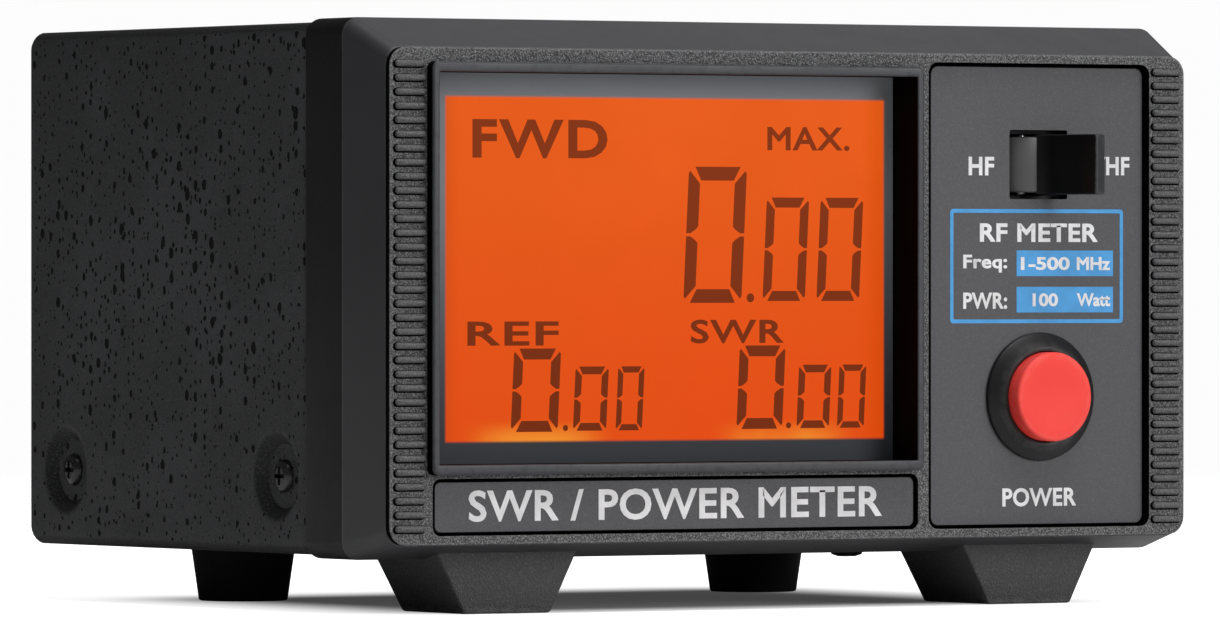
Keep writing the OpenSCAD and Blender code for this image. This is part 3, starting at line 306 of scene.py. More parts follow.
def plainFinish(name, look):
    # colour with slow shading, grain with pale specks, dust on top and wear where the edge attribute is
    look = plainUsual | look
    material, tree, shader, place = startMaterial(name, look)
    normal = tree.nodes.new("ShaderNodeNewGeometry").outputs["Normal"]
    shade = placeEffect(tree, "blotches", place, Size=look["blotch"])["Shade"]
    grain = placeEffect(tree, "grain", place, Size=look["grain"], Speck=look["speck"])
    dust = placeEffect(tree, "dust", place, Normal=normal, Amount=look["dust"])["Dust"]
    edge = add(tree, "ShaderNodeAttribute", {}, attribute_name="edge").outputs["Fac"]
    wear = placeEffect(tree, "edge", place, Edge=edge, Amount=look["wear"])["Wear"]
    base = np.broadcast_to(look["colour"], 3)
    # the tone is half way where the shade and the grain's height are at their middles
    middle = calc(tree, "MULTIPLY_ADD", shade, look["vary"]*0.5, 0.5)
    tone = calc(tree, "MULTIPLY_ADD", grain["Height"], look["grainTone"],
        -look["grainMiddle"]*look["grainTone"])
    body = blendColours(tree, calc(tree, "ADD", tone, middle), colour(base*(1 - look["contrast"])),
        colour(base*(1 + look["contrast"])))
    speckled = blendColours(tree, grain["Speckle"], body, colour(look["speckColour"]))
    worn = blendColours(tree, wear, speckled, colour(look.get("wearColour", base*2.2 + 0.02)))
    rough = calc(tree, "MULTIPLY_ADD", shade, look["roughVary"], look["rough"])
    feed(tree, shader, {"Base Color": blendColours(tree, dust, worn, colour(look["dustColour"])),
        "Roughness": calc(tree, "MULTIPLY_ADD", wear, look["wornRough"], rough)})
    connectBump(tree, shader, grain["Height"], look)
    return material


metalUsual = dict(metal=1.0, blotch=6.0, size=0.2, along=(1.0, 1.0, 0.06), bump=0.12, bumpDepth=0.05,
    darkShare=0.72, paleShare=1.1, roughLow=0.75, roughHigh=1.35)


def metalFinish(name, look):
    # metal with drawn lines and slow tarnish
    look = metalUsual | look
    material, tree, shader, place = startMaterial(name, look)
    shade = placeEffect(tree, "blotches", place, Size=look["blotch"])["Shade"]
    lines = placeEffect(tree, "lines", place, Along=look["along"], Size=look["size"])["Height"]
    base = np.array(look["colour"])
    tone = ramp(tree, calc(tree, "ADD", shade, lines), -0.6, 1.6)
    dark, pale = base*look["darkShare"], np.minimum(base*look["paleShare"], 0.95)
    rough = ramp(tree, shade, -1.0, 1.0, look["rough"]*look["roughLow"], look["rough"]*look["roughHigh"])
    feed(tree, shader, {"Base Color": blendColours(tree, tone, colour(dark), colour(pale)),
        "Roughness": rough})
    connectBump(tree, shader, lines, look)
    return material


def sleeveFinish(name, look):
    # satin black coat with large and small pits, each with a faint raised rim
    material, tree, shader, place = startMaterial(name, look)
    shade = placeEffect(tree, "blotches", place, Size=look["blotch"])["Shade"]
    # the sides read the depth and the height, the top and the bottom the depth and the width, and the rear
    # lip the width and the height
    parts = splitVector(tree, place)
    facing = splitVector(tree, tree.nodes.new("ShaderNodeNewGeometry").outputs["Normal"])
    sizes = [calc(tree, "ABSOLUTE", facing[k]) for k in range(3)]
    rearward, level = (calc(tree, "GREATER_THAN", sizes[k], 0.7) for k in (1, 2))
    first = calc(tree, "MULTIPLY_ADD", rearward, calc(tree, "SUBTRACT", parts[0], parts[1]), parts[1])
    second = calc(tree, "MULTIPLY_ADD", level, calc(tree, "SUBTRACT", parts[0], parts[2]), parts[2])
    spreadOut = add(tree, "ShaderNodeCombineXYZ", {0: first, 1: second}).outputs[0]
    # fewer pits near the bottom, and none where the sheet is bent, which is darkened too as painted shade
    flat = calc(tree, "MAXIMUM", calc(tree, "MAXIMUM", sizes[0], sizes[1]), sizes[2])
    low, high = (v*mm for v in look["fewerBelow"])
    fewer = calc(tree, "MULTIPLY", ramp(tree, parts[2], low, high, 0.7, 1.0), ramp(tree, flat, 0.90, 0.985))
    pitRows = []
    for spacing, reach, stretch in look["pits"]:
        crowded = calc(tree, "MULTIPLY", ramp(tree, shade, -1.0, 1.0, reach*0.75, reach*1.2), fewer)
        pitRows.append(placeEffect(tree, "pits", spreadOut, Spacing=spacing, Reach=crowded, Stretch=stretch))
    large, small = pitRows
    grain = placeEffect(tree, "grain", place, Size=look["grain"], Speck=1.0)
    pit = calc(tree, "MAXIMUM", large["Pit"], small["Pit"])
    rim = calc(tree, "MAXIMUM", large["Rim"], small["Rim"])
    base = np.array(look["colour"])
    coat = blendColours(tree, ramp(tree, shade, -1.0, 1.0), colour(base*0.85), colour(base*1.2))
    # painted shade: the coat is darkened where the sheet bends, in the dimples and round the corners
    coat = blendColours(tree, ramp(tree, flat, 0.86, 0.99), colour(base*look["bentShade"]), coat)
    flecks = calc(tree, "MULTIPLY", grain["Speckle"], look["fleck"])
    flecked = blendColours(tree, flecks, coat, colour(look["fleckColour"]))
    feed(tree, shader, {"Base Color": blendColours(tree, pit, flecked, colour(look["pitColour"])),
        "Roughness": ramp(tree, pit, 0.0, 1.0, look["rough"], look["pitRough"])})
    height = calc(tree, "ADD", calc(tree, "MULTIPLY", rim, look["rimHeight"]),
        calc(tree, "MULTIPLY", pit, -1.0))
    total = calc(tree, "ADD", height, calc(tree, "MULTIPLY", grain["Height"], look["grainHeight"]))
    connectBump(tree, shader, total, look)
    return material


def displayFinish(name, look):
    # backlit amber area with a soft edge inside a grey border, brighter over each lamp at the bottom; the
    # border is paler towards the top as painted light
    material, tree, shader, place = startMaterial(name, look)
    parts = splitVector(tree, place)
    soft = look["softEdge"]*mm
    left, right = (v*mm for v in look["across"])
    bottom, top = (v*mm for v in look["upright"])
    lit = ramp(tree, parts[0], left - soft, left + soft)
    for axis, low, high in ((0, right + soft, right - soft), (2, bottom - soft, bottom + soft),
            (2, top + soft, top - soft)):
        lit = calc(tree, "MULTIPLY", lit, ramp(tree, parts[axis], low, high))
    cloud = placeEffect(tree, "blotches", place, Size=look["blotch"])["Shade"]
    turn = 2*math.pi/(look["lampPitch"]*mm)
    along = calc(tree, "SUBTRACT", parts[0], look["lampX"]*mm)
    ripple = calc(tree, "COSINE", calc(tree, "MULTIPLY", along, turn))
    glow = calc(tree, "MULTIPLY", ramp(tree, ripple, -0.4, 1.0),
        ramp(tree, parts[2], bottom + look["lampReach"]*mm, bottom))
    glow = calc(tree, "MULTIPLY", glow, ramp(tree, cloud, -1.0, 1.0, 0.35, 1.0))
    height = ramp(tree, parts[2], bottom, top)
    amber = blendColours(tree, height, colour(look["lowAmber"]), colour(look["highAmber"]))
    amber = blendColours(tree, ramp(tree, cloud, -1.0, 1.0, 0.0, 0.35), amber, colour(look["otherAmber"]))
    glow = calc(tree, "MULTIPLY", glow, look["lampShare"])
    amber = blendColours(tree, glow, amber, colour(look["hotSpot"]))
    sides = [ramp(tree, parts[0], start, start + reach*mm, look["sideShade"], 1.0)
        for start, reach in zip((left, right), look["sideReach"])]
    amber = blendColours(tree, calc(tree, "MULTIPLY", *sides), colour(np.array(look["lowAmber"])*0.3), amber)
    # painted light: the grey border is paler towards the top
    border = blendColours(tree, height, colour(look["borderLow"]), colour(look["borderHigh"]))
    fine = placeEffect(tree, "grain", place, Size=look["grain"], Speck=0.0)
    feed(tree, shader, {"Emission Color": blendColours(tree, lit, colour(0.0), amber),
        "Emission Strength": look["strength"],
        "Base Color": blendColours(tree, lit, border, colour(look["litColour"])),
        "Roughness": ramp(tree, cloud, -1.0, 1.0, look["rough"]*0.9, look["rough"]*1.2)})
    connectBump(tree, shader, fine["Height"], look)
    return material


inkUsual = dict(blotch=5.0, grain=0.15, bump=0.08, bumpDepth=0.03, strength=1.0, glowFrom=24.0, glowTo=66.0)


def inkFinish(name, look):
    # printed ink, slightly uneven; a display segment also glows dimly, a little more towards the top
    look = inkUsual | look
    material, tree, shader, place = startMaterial(name, look)
    shade = placeEffect(tree, "blotches", place, Size=look["blotch"])["Shade"]
    grain = placeEffect(tree, "grain", place, Size=look["grain"], Speck=0.0)
    base = np.array(look["colour"])
    mixed = blendColours(tree, ramp(tree, shade, -1.0, 1.0), colour(base*0.9),
        colour(np.minimum(base*1.06, 1.0)))
    feed(tree, shader, {"Base Color": mixed, "Roughness": look["rough"]})
    if "glow" in look:
        glow = np.array(look["glow"])
        height = ramp(tree, splitVector(tree, place)[2], look["glowFrom"]*mm, look["glowTo"]*mm)
        feed(tree, shader, {"Emission Color": blendColours(tree, height, colour(glow*0.75), colour(glow)),
            "Emission Strength": look["strength"]})
    connectBump(tree, shader, grain["Height"], look)
    return material


def glassFinish(name, look):
    # clear glass, hardly uneven
    material, tree, shader, place = startMaterial(name, look)
    grain = placeEffect(tree, "grain", place, Size=look["grain"], Speck=0.0)
    shade = placeEffect(tree, "blotches", place, Size=look["blotch"])["Shade"]
    feed(tree, shader, {"Transmission Weight": 1.0, "Base Color": colour(look["colour"]),
        "Roughness": ramp(tree, shade, -1.0, 1.0, 0.02, 0.08)})
    connectBump(tree, shader, grain["Height"], look)
    return material


# one finish for each material slot and each extra look: its kind, and the values that differ from the kind's
# usual ones; sizes are in millimetres
finishes = {
    # one plastic in several tones: the bezel's sides darkest as painted shade; the slope, face and rib looks
    # paler as painted light, with the face's and ribs' own grain
    "bezel_plastic": (plainFinish, dict(colour=0.006, rough=0.45, gloss=0.25, bump=0.1, vary=0.2, wear=0.25,
        dust=0.008)),
    "slope_plastic": (plainFinish, dict(colour=(0.036, 0.036, 0.039), rough=0.42, gloss=0.5, bump=0.1,
        vary=0.15, wear=0.3, dust=0.012)),
    "face_grain": (plainFinish, dict(colour=(0.092, 0.092, 0.095), gloss=0.4, grain=0.32, speck=0.7,
        speckColour=(0.3, 0.3, 0.305), bump=0.9, bumpDepth=0.14, vary=0.2, grainTone=2.4, contrast=0.6,
        wear=0.3, wearColour=0.2)),
    "rib_plastic": (plainFinish, dict(colour=(0.082, 0.082, 0.085), rough=0.48, gloss=0.4, speck=0.3,
        speckColour=0.24, bump=0.4, vary=0.2, grainTone=1.6, contrast=0.4, dust=0.02)),
    # painted shade: near black for walls, moats and gaps where shadow falls
    "recess_black": (plainFinish, dict(colour=0.001, rough=0.8, gloss=0.04, bump=0.1, wear=0.0, dust=0.02)),
    "sleeve_paint": (sleeveFinish, dict(colour=(0.043, 0.044, 0.046), rough=0.5, gloss=0.2, blotch=18.0,
        bump=0.8, bumpDepth=0.12, pits=((2.3, 0.3, 0.78), (1.35, 0.27, 0.85)), pitColour=0.002, pitRough=0.8,
        fewerBelow=(10.0, 30.0), rimHeight=0.25, bentShade=0.35, grain=0.35, grainHeight=0.10, fleck=0.10,
        fleckColour=0.5)),
    "zinc_sheet": (metalFinish, dict(colour=(0.62, 0.63, 0.62), rough=0.38)),
    "panel_paint": (plainFinish, dict(colour=(0.022, 0.022, 0.024), grain=0.25, bump=0.4, speck=0.1)),
    "plate_paint": (plainFinish, dict(colour=(0.072, 0.072, 0.077), rough=0.48, gloss=0.3, grain=0.22,
        bump=0.12, blotch=30.0, vary=0.2, speck=0.12, wear=0.15)),
    "frame_plastic": (plainFinish, dict(colour=(0.027, 0.028, 0.032), rough=0.42, gloss=0.35, grain=0.2,
        bump=0.06, vary=0.2, wear=0.25)),
    "lcd_film": (displayFinish, dict(across=(-53.7, 17.7), upright=(23.5, 70.6), softEdge=0.25, gloss=0.03,
        lampX=-39.0, lampPitch=40.0, lampReach=3.2, lampShare=0.7, strength=1.0, rough=0.3, blotch=30.0,
        lowAmber=(0.78, 0.07, 0.004), highAmber=(0.82, 0.108, 0.008), otherAmber=(0.7, 0.085, 0.005),
        hotSpot=(0.92, 0.34, 0.03), sideReach=(2.5, -4.0), sideShade=0.86, litColour=(0.006, 0.003, 0.001),
        borderLow=(0.053, 0.056, 0.064), borderHigh=(0.25, 0.262, 0.28), grain=0.12, bump=0.04,
        bumpDepth=0.02)),
    "lcd_glass": (glassFinish, dict(colour=(0.85, 0.9, 0.88), grain=2.0, blotch=9.0, bump=0.02,
        bumpDepth=0.02)),
    "grey_film": (plainFinish, dict(colour=(0.25, 0.24, 0.2), rough=0.3, bump=0.05)),
    "clear_plastic": (plainFinish, dict(colour=(0.85, 0.85, 0.82), rough=0.15, grain=0.5, bump=0.03)),
    "white_plastic": (plainFinish, dict(colour=(0.8, 0.8, 0.78), bump=0.1)),
    "amber_lamp": (plainFinish, dict(colour=(0.95, 0.55, 0.15), rough=0.25, grain=0.2, bump=0.05)),
    "strip_rubber": (plainFinish, dict(colour=(0.75, 0.35, 0.42), rough=0.7, grain=0.15)),
    "circuit_board": (plainFinish, dict(colour=(0.02, 0.14, 0.05), rough=0.32, grain=0.4, bump=0.15)),
    "chip_black": (plainFinish, dict(colour=(0.02, 0.02, 0.022), rough=0.6, grain=0.12)),
    "zinc_screw": (metalFinish, dict(colour=(0.6, 0.6, 0.6), rough=0.3)),
    "black_screw": (plainFinish, dict(colour=(0.015, 0.015, 0.016), rough=0.28, grain=0.2, bump=0.12,
        ior=1.6)),
    "ring_plastic": (plainFinish, dict(colour=(0.009, 0.009, 0.01), rough=0.38, gloss=0.3, grain=0.16,
        bump=0.06, wear=0.12, wearColour=0.16, dust=0.01)),
    "button_red": (plainFinish, dict(colour=(0.95, 0.064, 0.052), rough=0.34, gloss=0.15, grain=0.14,
        bump=0.04, wear=0.1, wearColour=(0.95, 0.3, 0.26), vary=0.15, dust=0.01)),
    "spring_steel": (metalFinish, dict(colour=(0.6, 0.6, 0.62), rough=0.25)),
    "switch_black": (plainFinish, dict(colour=(0.022, 0.022, 0.024), rough=0.55, grain=0.25)),
    "lever_plastic": (plainFinish, dict(colour=0.002, rough=0.34, gloss=0.25, grain=0.15, bump=0.05, wear=0.4,
        wearColour=0.1, dust=0.02)),
    "drum_plastic": (plainFinish, dict(colour=(0.09, 0.09, 0.093), rough=0.36, gloss=0.5, grain=0.2,
        bump=0.06, dust=0.02)),
    "tinned_brass": (metalFinish, dict(colour=(0.72, 0.68, 0.55), rough=0.35)),
    "capacitor_sleeve": (plainFinish, dict(colour=(0.03, 0.05, 0.2), rough=0.25, bump=0.05)),
    "brass": (metalFinish, dict(colour=(0.72, 0.55, 0.25), rough=0.3)),
    "ribbon_grey": (plainFinish, dict(colour=(0.5, 0.5, 0.52), bump=0.1)),
    "lead_red": (plainFinish, dict(colour=(0.55, 0.03, 0.03), rough=0.35, bump=0.05)),
    "tin_plate": (metalFinish, dict(colour=(0.62, 0.62, 0.6), rough=0.4)),
    "socket_nickel": (metalFinish, dict(colour=(0.72, 0.72, 0.7), rough=0.2, size=0.12, bump=0.06)),
    "insulator_white": (plainFinish, dict(colour=(0.85, 0.85, 0.82), rough=0.4, grain=0.2, bump=0.06)),
    "contact_gilt": (metalFinish, dict(colour=(0.8, 0.62, 0.28), rough=0.22)),
    "copper": (metalFinish, dict(colour=(0.75, 0.4, 0.22), rough=0.35)),
    "ferrite": (plainFinish, dict(colour=(0.06, 0.06, 0.065), rough=0.6, grain=0.2, bump=0.3)),
    "inlet_plastic": (plainFinish, dict(colour=(0.02, 0.02, 0.022), rough=0.3, grain=0.2, bump=0.06)),
    "foot_plastic": (plainFinish, dict(colour=(0.054, 0.054, 0.056), gloss=0.3, grain=0.36, bump=0.8,
        speck=0.5, speckColour=0.14, bumpDepth=0.14)),
    "foot_rubber": (plainFinish, dict(colour=0.016, rough=0.8, gloss=0.2, bump=0.3, dust=0.02)),
    "white_print": (inkFinish, dict(colour=(0.8, 0.8, 0.81), rough=0.5, gloss=0.25)),
    "blue_print": (inkFinish, dict(colour=(0.075, 0.34, 0.7), rough=0.5, gloss=0.25)),
    "segment_ink": (inkFinish, dict(colour=(0.006, 0.002, 0.001), rough=0.4, gloss=0.03,
        glow=(0.225, 0.032, 0.005)))}
materials = {name: build(name, look) for name, (build, look) in finishes.items()}

slotOf = {row["node"]: row["material_slot"] for row in frame["record"]["subparts"]}
for name, thing in frame["nodes"].items():
    thing.data.materials.clear()
    thing.data.materials.append(materials[slotOf[name]])
print("materials", len(materials))

# mesh helpers; every piece is made in millimetres and put into its mesh in metres


def corners(name):
    low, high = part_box(name)
    return np.array(low)/mm, np.array(high)/mm


def quads(rows, columns, closeRows=False, closeColumns=False):
    # the faces of a grid of points, row by row, joined round where asked
    i = np.arange(rows if closeRows else rows - 1)
    j = np.arange(columns if closeColumns else columns - 1)
    i, j = np.meshgrid(i, j, indexing="ij")
    down, right = (i + 1) % rows, (j + 1) % columns
    faces = np.stack([i*columns + j, i*columns + right, down*columns + right, down*columns + j], axis=-1)
    return faces.reshape(-1, 4)


class Shell:
    # gathers grids and flat fills of one piece, then makes its mesh

    def __init__(self):
        self.points, self.faces, self.edge, self.finish, self.count = [], [], [], [], 0

    def grid(self, points, closeRows=False, closeColumns=False, edge=None, finish=0):
        rows, columns = points.shape[:2]
        faces = quads(rows, columns, closeRows, closeColumns) + self.count
        strips = rows if closeRows else rows - 1
        self.faces += faces.tolist()
        self.finish += np.repeat(np.broadcast_to(finish, strips), len(faces)//strips).tolist()
        self.points.append(points.reshape(-1, 3))
        self.edge.append(np.zeros(rows*columns) if edge is None else np.broadcast_to(
            np.asarray(edge, float)[:, None], (rows, columns)).reshape(-1))
        self.count += rows*columns

    def fill(self, loops, finish=0):
        # a flat face bounded by the first loop, with the others as holes
        flat = [[Vector(p) for p in loop] for loop in loops]
        joined = np.concatenate(loops)
        triangles = tessellate_polygon(flat)
        self.faces += [[k + self.count for k in triangle] for triangle in triangles]
        self.finish += [finish]*len(triangles)
        self.points.append(joined)
        self.edge.append(np.zeros(len(joined)))
        self.count += len(joined)

    def soup(self, points, faces, finish=0):
        # points and faces made elsewhere, such as a word
        self.points.append(np.asarray(points, float))
        self.faces += [[k + self.count for k in face] for face in faces]
        self.finish += [finish]*len(faces)
        self.edge.append(np.zeros(len(points)))
        self.count += len(points)

    def make(self, name, finishes, body, replaces=(), smooth=32.0, weld=0.0006):
        mesh = bpy.data.meshes.new(name)
        mesh.from_pydata((np.concatenate(self.points)*mm).tolist(), [], self.faces)
        mesh.polygons.foreach_set("material_index", self.finish)
        edge = mesh.attributes.new("edge", "FLOAT", "POINT")
        edge.data.foreach_set("value", np.concatenate(self.edge).astype(np.float32))
        work = bmesh.new()
        work.from_mesh(mesh)
        bmesh.ops.remove_doubles(work, verts=work.verts, dist=weld*mm)
        bmesh.ops.dissolve_degenerate(work, edges=work.edges, dist=1e-8)
        bmesh.ops.recalc_face_normals(work, faces=work.faces)
        work.to_mesh(mesh)
        work.free()
        mesh.shade_smooth()
        mesh.set_sharp_from_angle(angle=smooth*toRadians)
        for finish in finishes:
            mesh.materials.append(materials[finish])
        thing = bpy.data.objects.new(name, mesh)
        bpy.context.scene.collection.objects.link(thing)
        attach(thing, body)
        if replaces:
            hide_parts(*replaces)
        return thing


def roundedLoops(centre, halfX, halfZ, radius, depth, steps=8):
    # rounded rectangles in the X-Z plane, one for each row: a corner is a quarter circle about its own centre
    halfX, halfZ, radius, depth = np.broadcast_arrays(*np.atleast_1d(halfX, halfZ, radius, depth))
    centreX, centreZ = (np.broadcast_to(part, halfX.shape) for part in centre)
    signs = np.repeat([[1, 1], [-1, 1], [-1, -1], [1, -1]], steps + 1, axis=0)
    angle = (np.tile(np.linspace(0, 90, steps + 1), 4) + np.repeat([0, 90, 180, 270], steps + 1))*toRadians
    x = centreX[:, None] + signs[:, 0]*(halfX - radius)[:, None] + radius[:, None]*np.cos(angle)
    z = centreZ[:, None] + signs[:, 1]*(halfZ - radius)[:, None] + radius[:, None]*np.sin(angle)
    return np.stack([x, np.broadcast_to(depth[:, None], x.shape), z], axis=-1)


def circleLoop(centre, radius, depth, steps=64):
    angle = np.linspace(0, 2*math.pi, steps, endpoint=False)
    x, z = centre[0] + radius*np.cos(angle), centre[1] + radius*np.sin(angle)
    return np.stack([x, np.full(steps, depth), z], axis=-1)


def turned(centre, profile, steps=96):
    # a profile of (radius, depth) carried round an axis along Y
    profile = np.asarray(profile, float)
    angle = np.linspace(0, 2*math.pi, steps, endpoint=False)
    x = centre[0] + profile[:, :1]*np.cos(angle)
    z = centre[1] + profile[:, :1]*np.sin(angle)
    return np.stack([x, np.broadcast_to(profile[:, 1:2], x.shape), z], axis=-1)


def filleted(points, radii, steps=5):
    # a polyline whose corners are replaced by arcs of the given radii
    points = np.asarray(points, float)
    out = [points[0]]
    for k in range(1, len(points) - 1):
        before, after = points[k - 1] - points[k], points[k + 1] - points[k]
        lengthBefore, lengthAfter = np.hypot(*before), np.hypot(*after)
        before, after = before/lengthBefore, after/lengthAfter
        half = math.acos(np.clip(before @ after, -1, 1))/2
        if radii[k] <= 0 or half > math.pi/2 - 1e-3:
            out.append(points[k])
            continue
        reach = min(radii[k]/math.tan(half), 0.49*lengthBefore, 0.49*lengthAfter)
        radius = reach*math.tan(half)
        middle = points[k] + (before + after)/np.hypot(*(before + after))*radius/math.sin(half)
        start, end = points[k] + before*reach - middle, points[k] + after*reach - middle
        angleStart = math.atan2(start[1], start[0])
        sweep = math.atan2(start[0]*end[1] - start[1]*end[0], start @ end)
        angle = angleStart + sweep*np.linspace(0, 1, steps + 1)
        out.extend(middle + radius*np.stack([np.cos(angle), np.sin(angle)], axis=-1))
    out.append(points[-1])
    return np.array(out)


def crests(line, short=0.6):
    # 1 at the points of a line whose neighbours on both sides are near, as on a rounded corner; 0 elsewhere
    span = np.hypot(*np.diff(line, axis=0).T)
    return ((np.append(9.0, span) < short) & (np.append(span, 9.0) < short)).astype(float)


# front bezel: rim of the slopes, rounded ridge, sides, tongue, and a grained face with three openings

bezel = dict(ribRise=0.55, faceEdge=0.35, faceStep=1.0, ledge=0.15, slopeSide=1.6, slopeTop=4.2,
    slopeBottom=2.15, slopeDepth=9.8, depth=20.0, ridge=1.4, outerRadius=2.5, rearRound=0.4, wall=4.0,
    tongueInset=2.05, tongueDepth=24.0, tongueWall=1.2, tongueRadius=1.5, ribLength=4.9, ribHeight=0.95,
    ribPitch=1.91, ribCount=34, ribInset=0.7, ribDraw=0.62, edge=0.25, moat=0.11, moatShift=(-0.12, -0.08),
    moatDepth=0.3, plateGap=0.35, plateSeat=3.0, controlCorner=1.5, titleCorner=1.2, frameLap=0.2,
    openingCorner=0.5)
bezelLow, bezelHigh = corners("front_bezel")
faceY = bezelLow[1] + bezel["ribRise"]
halfWidth = bezelHigh[0]
middleZ = (bezelLow[2] + bezelHigh[2])/2
faceHalf = halfWidth - bezel["slopeSide"]
faceLow, faceHigh = bezelLow[2] + bezel["slopeBottom"], bezelHigh[2] - bezel["slopeTop"]
faceMiddle = (faceLow + faceHigh)/2
frameLow, frameHigh = corners("display_frame")
plateLow, plateHigh = corners("control_plate")
titleLow, titleHigh = corners("title_plate")


def spread(low, high, extra=0.0):
    # centre and half sizes of a box seen from the front, grown by extra
    centre = ((low[0] + high[0])/2, (low[2] + high[2])/2)
    return centre, (high[0] - low[0])/2 + extra, (high[2] - low[2])/2 + extra


recesses = [
    (*spread(plateLow, plateHigh, bezel["plateGap"]), bezel["controlCorner"], plateHigh[1] - faceY),
    (*spread(titleLow, titleHigh, bezel["plateGap"]), bezel["titleCorner"], titleHigh[1] - faceY)]


def slopeRows(inset):
    # one side's line from the face's rim to the tongue: a pair of inset and depth for each row
    b = bezel
    line = [(inset + b["faceEdge"], 0), (inset, 0), (inset, b["faceStep"]),
        (inset - b["ledge"], b["faceStep"]), (0, b["slopeDepth"]), (0, b["depth"]),
        (b["tongueInset"], b["depth"]), (b["tongueInset"], b["tongueDepth"])]
    return filleted(line, [0, b["faceEdge"]*0.8, 0, 0.12, b["ridge"], b["rearRound"], 0, 0])


def makeBezel():
    # each row is a rounded rectangle whose four insets follow the sloping sides, so that the surface has two
    # parameters: the place round the outline and the place along the slope
    b = bezel
    side = slopeRows(b["slopeSide"])
    top = slopeRows(b["slopeTop"])
    bottom = slopeRows(b["slopeBottom"])
    depth = side[:, 1]
    halfX = halfWidth - side[:, 0]
    highZ = bezelHigh[2] - top[:, 0]
    lowZ = bezelLow[2] + bottom[:, 0]
    radius = np.where(depth > b["depth"] + 0.01, b["tongueRadius"], b["outerRadius"])
    halfZ = (highZ - lowZ)/2
    centre = (np.zeros(len(depth)), (highZ + lowZ)/2)
    shell = Shell()
    depths = np.where(depth <= b["slopeDepth"] + 2, (side[:, 1] + top[:, 1])/2, depth)
    outer = roundedLoops(centre, halfX, halfZ, radius, faceY + depths)
    # the grained brow, the step behind it painted black as shade, the slopes, and the smoother sides; the
    # sides are darkest as painted shade, the slopes and the face paler as painted light
    strip = (depth[1:] + depth[:-1])/2
    finish = np.select([strip < b["faceEdge"], strip < b["faceStep"] - 0.02, strip < b["slopeDepth"] + 0.2],
        [1, 3, 2], 0)
    shell.grid(outer, closeColumns=True, edge=crests(side), finish=finish)
    start = b["tongueInset"]
    inner = filleted([(start, b["tongueDepth"]), (start + b["tongueWall"], b["tongueDepth"]),
        (start + b["tongueWall"], 11), (start + 4.5, b["wall"])], [0, 0.2, 0.5, 0])
    inside = roundedLoops((0, middleZ), halfWidth - inner[:, 0], (bezelHigh[2] - bezelLow[2])/2 - inner[:, 0],
        b["tongueRadius"], faceY + inner[:, 1])
    shell.grid(inside, closeColumns=True)
    frontHoles, backHoles = [], []
    for centreXZ, hx, hz, r, floor in recesses:
        rim = b["edge"]
        seat = -b["plateSeat"]
        line = filleted([(rim, 0), (0, 0), (0, floor), (seat, floor), (seat, b["wall"])],
            [0, rim*0.9, 0.1, 0, 0])
        wall = roundedLoops(centreXZ, hx + line[:, 0], hz + line[:, 0], np.clip(r + line[:, 0], 0.3, 9),
            faceY + line[:, 1])
        # the recess walls below the rim are painted shade black
        shell.grid(wall, closeColumns=True, edge=crests(line)*0.7, finish=np.where(line[1:, 1] < 0.3, 1, 3))
        frontHoles.append(wall[0])
        backHoles.append(wall[-1])
    centreXZ, hx, hz = spread(frameLow, frameHigh, -b["frameLap"])
    wall = roundedLoops(centreXZ, hx, hz, b["openingCorner"], [faceY, faceY + b["wall"]])
    shell.grid(wall, closeColumns=True)
    shell.fill([outer[0]] + frontHoles + [wall[0]], finish=1)
    shell.fill([inside[-1]] + backHoles + [wall[-1]])
    for hand in (-1, 1):
        for k in range(b["ribCount"]):
            addRib(shell, hand*(faceHalf - b["ribInset"] - b["ribLength"]/2),
                faceMiddle + (k - (b["ribCount"] - 1)/2)*b["ribPitch"])
    shell.make("bezel", ["bezel_plastic", "face_grain", "slope_plastic", "recess_black", "rib_plastic"],
        "root", ["front_bezel"])


def addRib(shell, x, z):
    # a bar with round ends in a narrow moat painted black as shade, shifted left and down where its shadow
    # falls; the rows draw in along most of a quarter circle as they rise off the face; the moat's floor is
    # behind the face, and its rim a hair in front
    b = bezel
    turn = np.linspace(0, 1, 5)*math.pi/2*0.93
    half = b["ribHeight"]/2
    inset = np.concatenate([[-b["moat"], -b["moat"], 0], half*(1 - np.cos(turn))*b["ribDraw"]])
    rise = np.concatenate([[-b["moatDepth"], 0.02, 0.02],
        np.maximum(b["ribRise"]*np.sin(turn)/np.sin(turn[-1]), 0.021)])
    middle = [start + np.where(inset < 0, shift, 0) for start, shift in zip((x, z), b["moatShift"])]
    rows = roundedLoops(middle, b["ribLength"]/2 - inset, half - inset, half - inset - 0.002, faceY - rise,
        steps=4)
    # the moat and the rib's lowest wall are painted shade black
    shell.grid(rows, closeColumns=True, finish=[3, 3, 3, 3, 4, 4, 4])
    shell.fill([rows[-1]], finish=4)
    shell.fill([rows[0]], finish=3)


makeBezel()
print("bezel")

# steel sleeve: rounded-rectangle rows along the depth, turned in at the rear, with dimples in its sides

sleeve = dict(wall=1.5, radius=1.9, rearRound=1.2, lip=4.5, lipRadius=2.0, lipEdge=0.2, frontRound=0.3,
    sideDraw=0.4, sideDrawFrom=0.84, dimpleRadius=6.5, dimpleFloor=3.0, dimpleDepth=2.4, dimpleRim=0.6,
    sideGrid=0.42, flatGrid=5.0)
sleeveLow, sleeveHigh = corners("sleeve_cover")
sideScrews = corners("side_screws")
screwZ = (sideScrews[0][2] + sideScrews[1][2])/2
screwRadius = (sideScrews[1][2] - sideScrews[0][2])/2
screwYs = [sideScrews[0][1] + screwRadius, sideScrews[1][1] - screwRadius]


def sideSamples(low, high, centres, reach, fine, coarse):
    # samples from low to high, close together within reach of each centre
    parts = [np.arange(low, high, coarse), [high]]
    for centre in centres:
        parts.append(np.arange(max(low, centre - reach), min(high, centre + reach), fine))
    joined = np.unique(np.round(np.concatenate(parts), 3))
    return joined[np.concatenate([[True], np.diff(joined) > 0.12])]


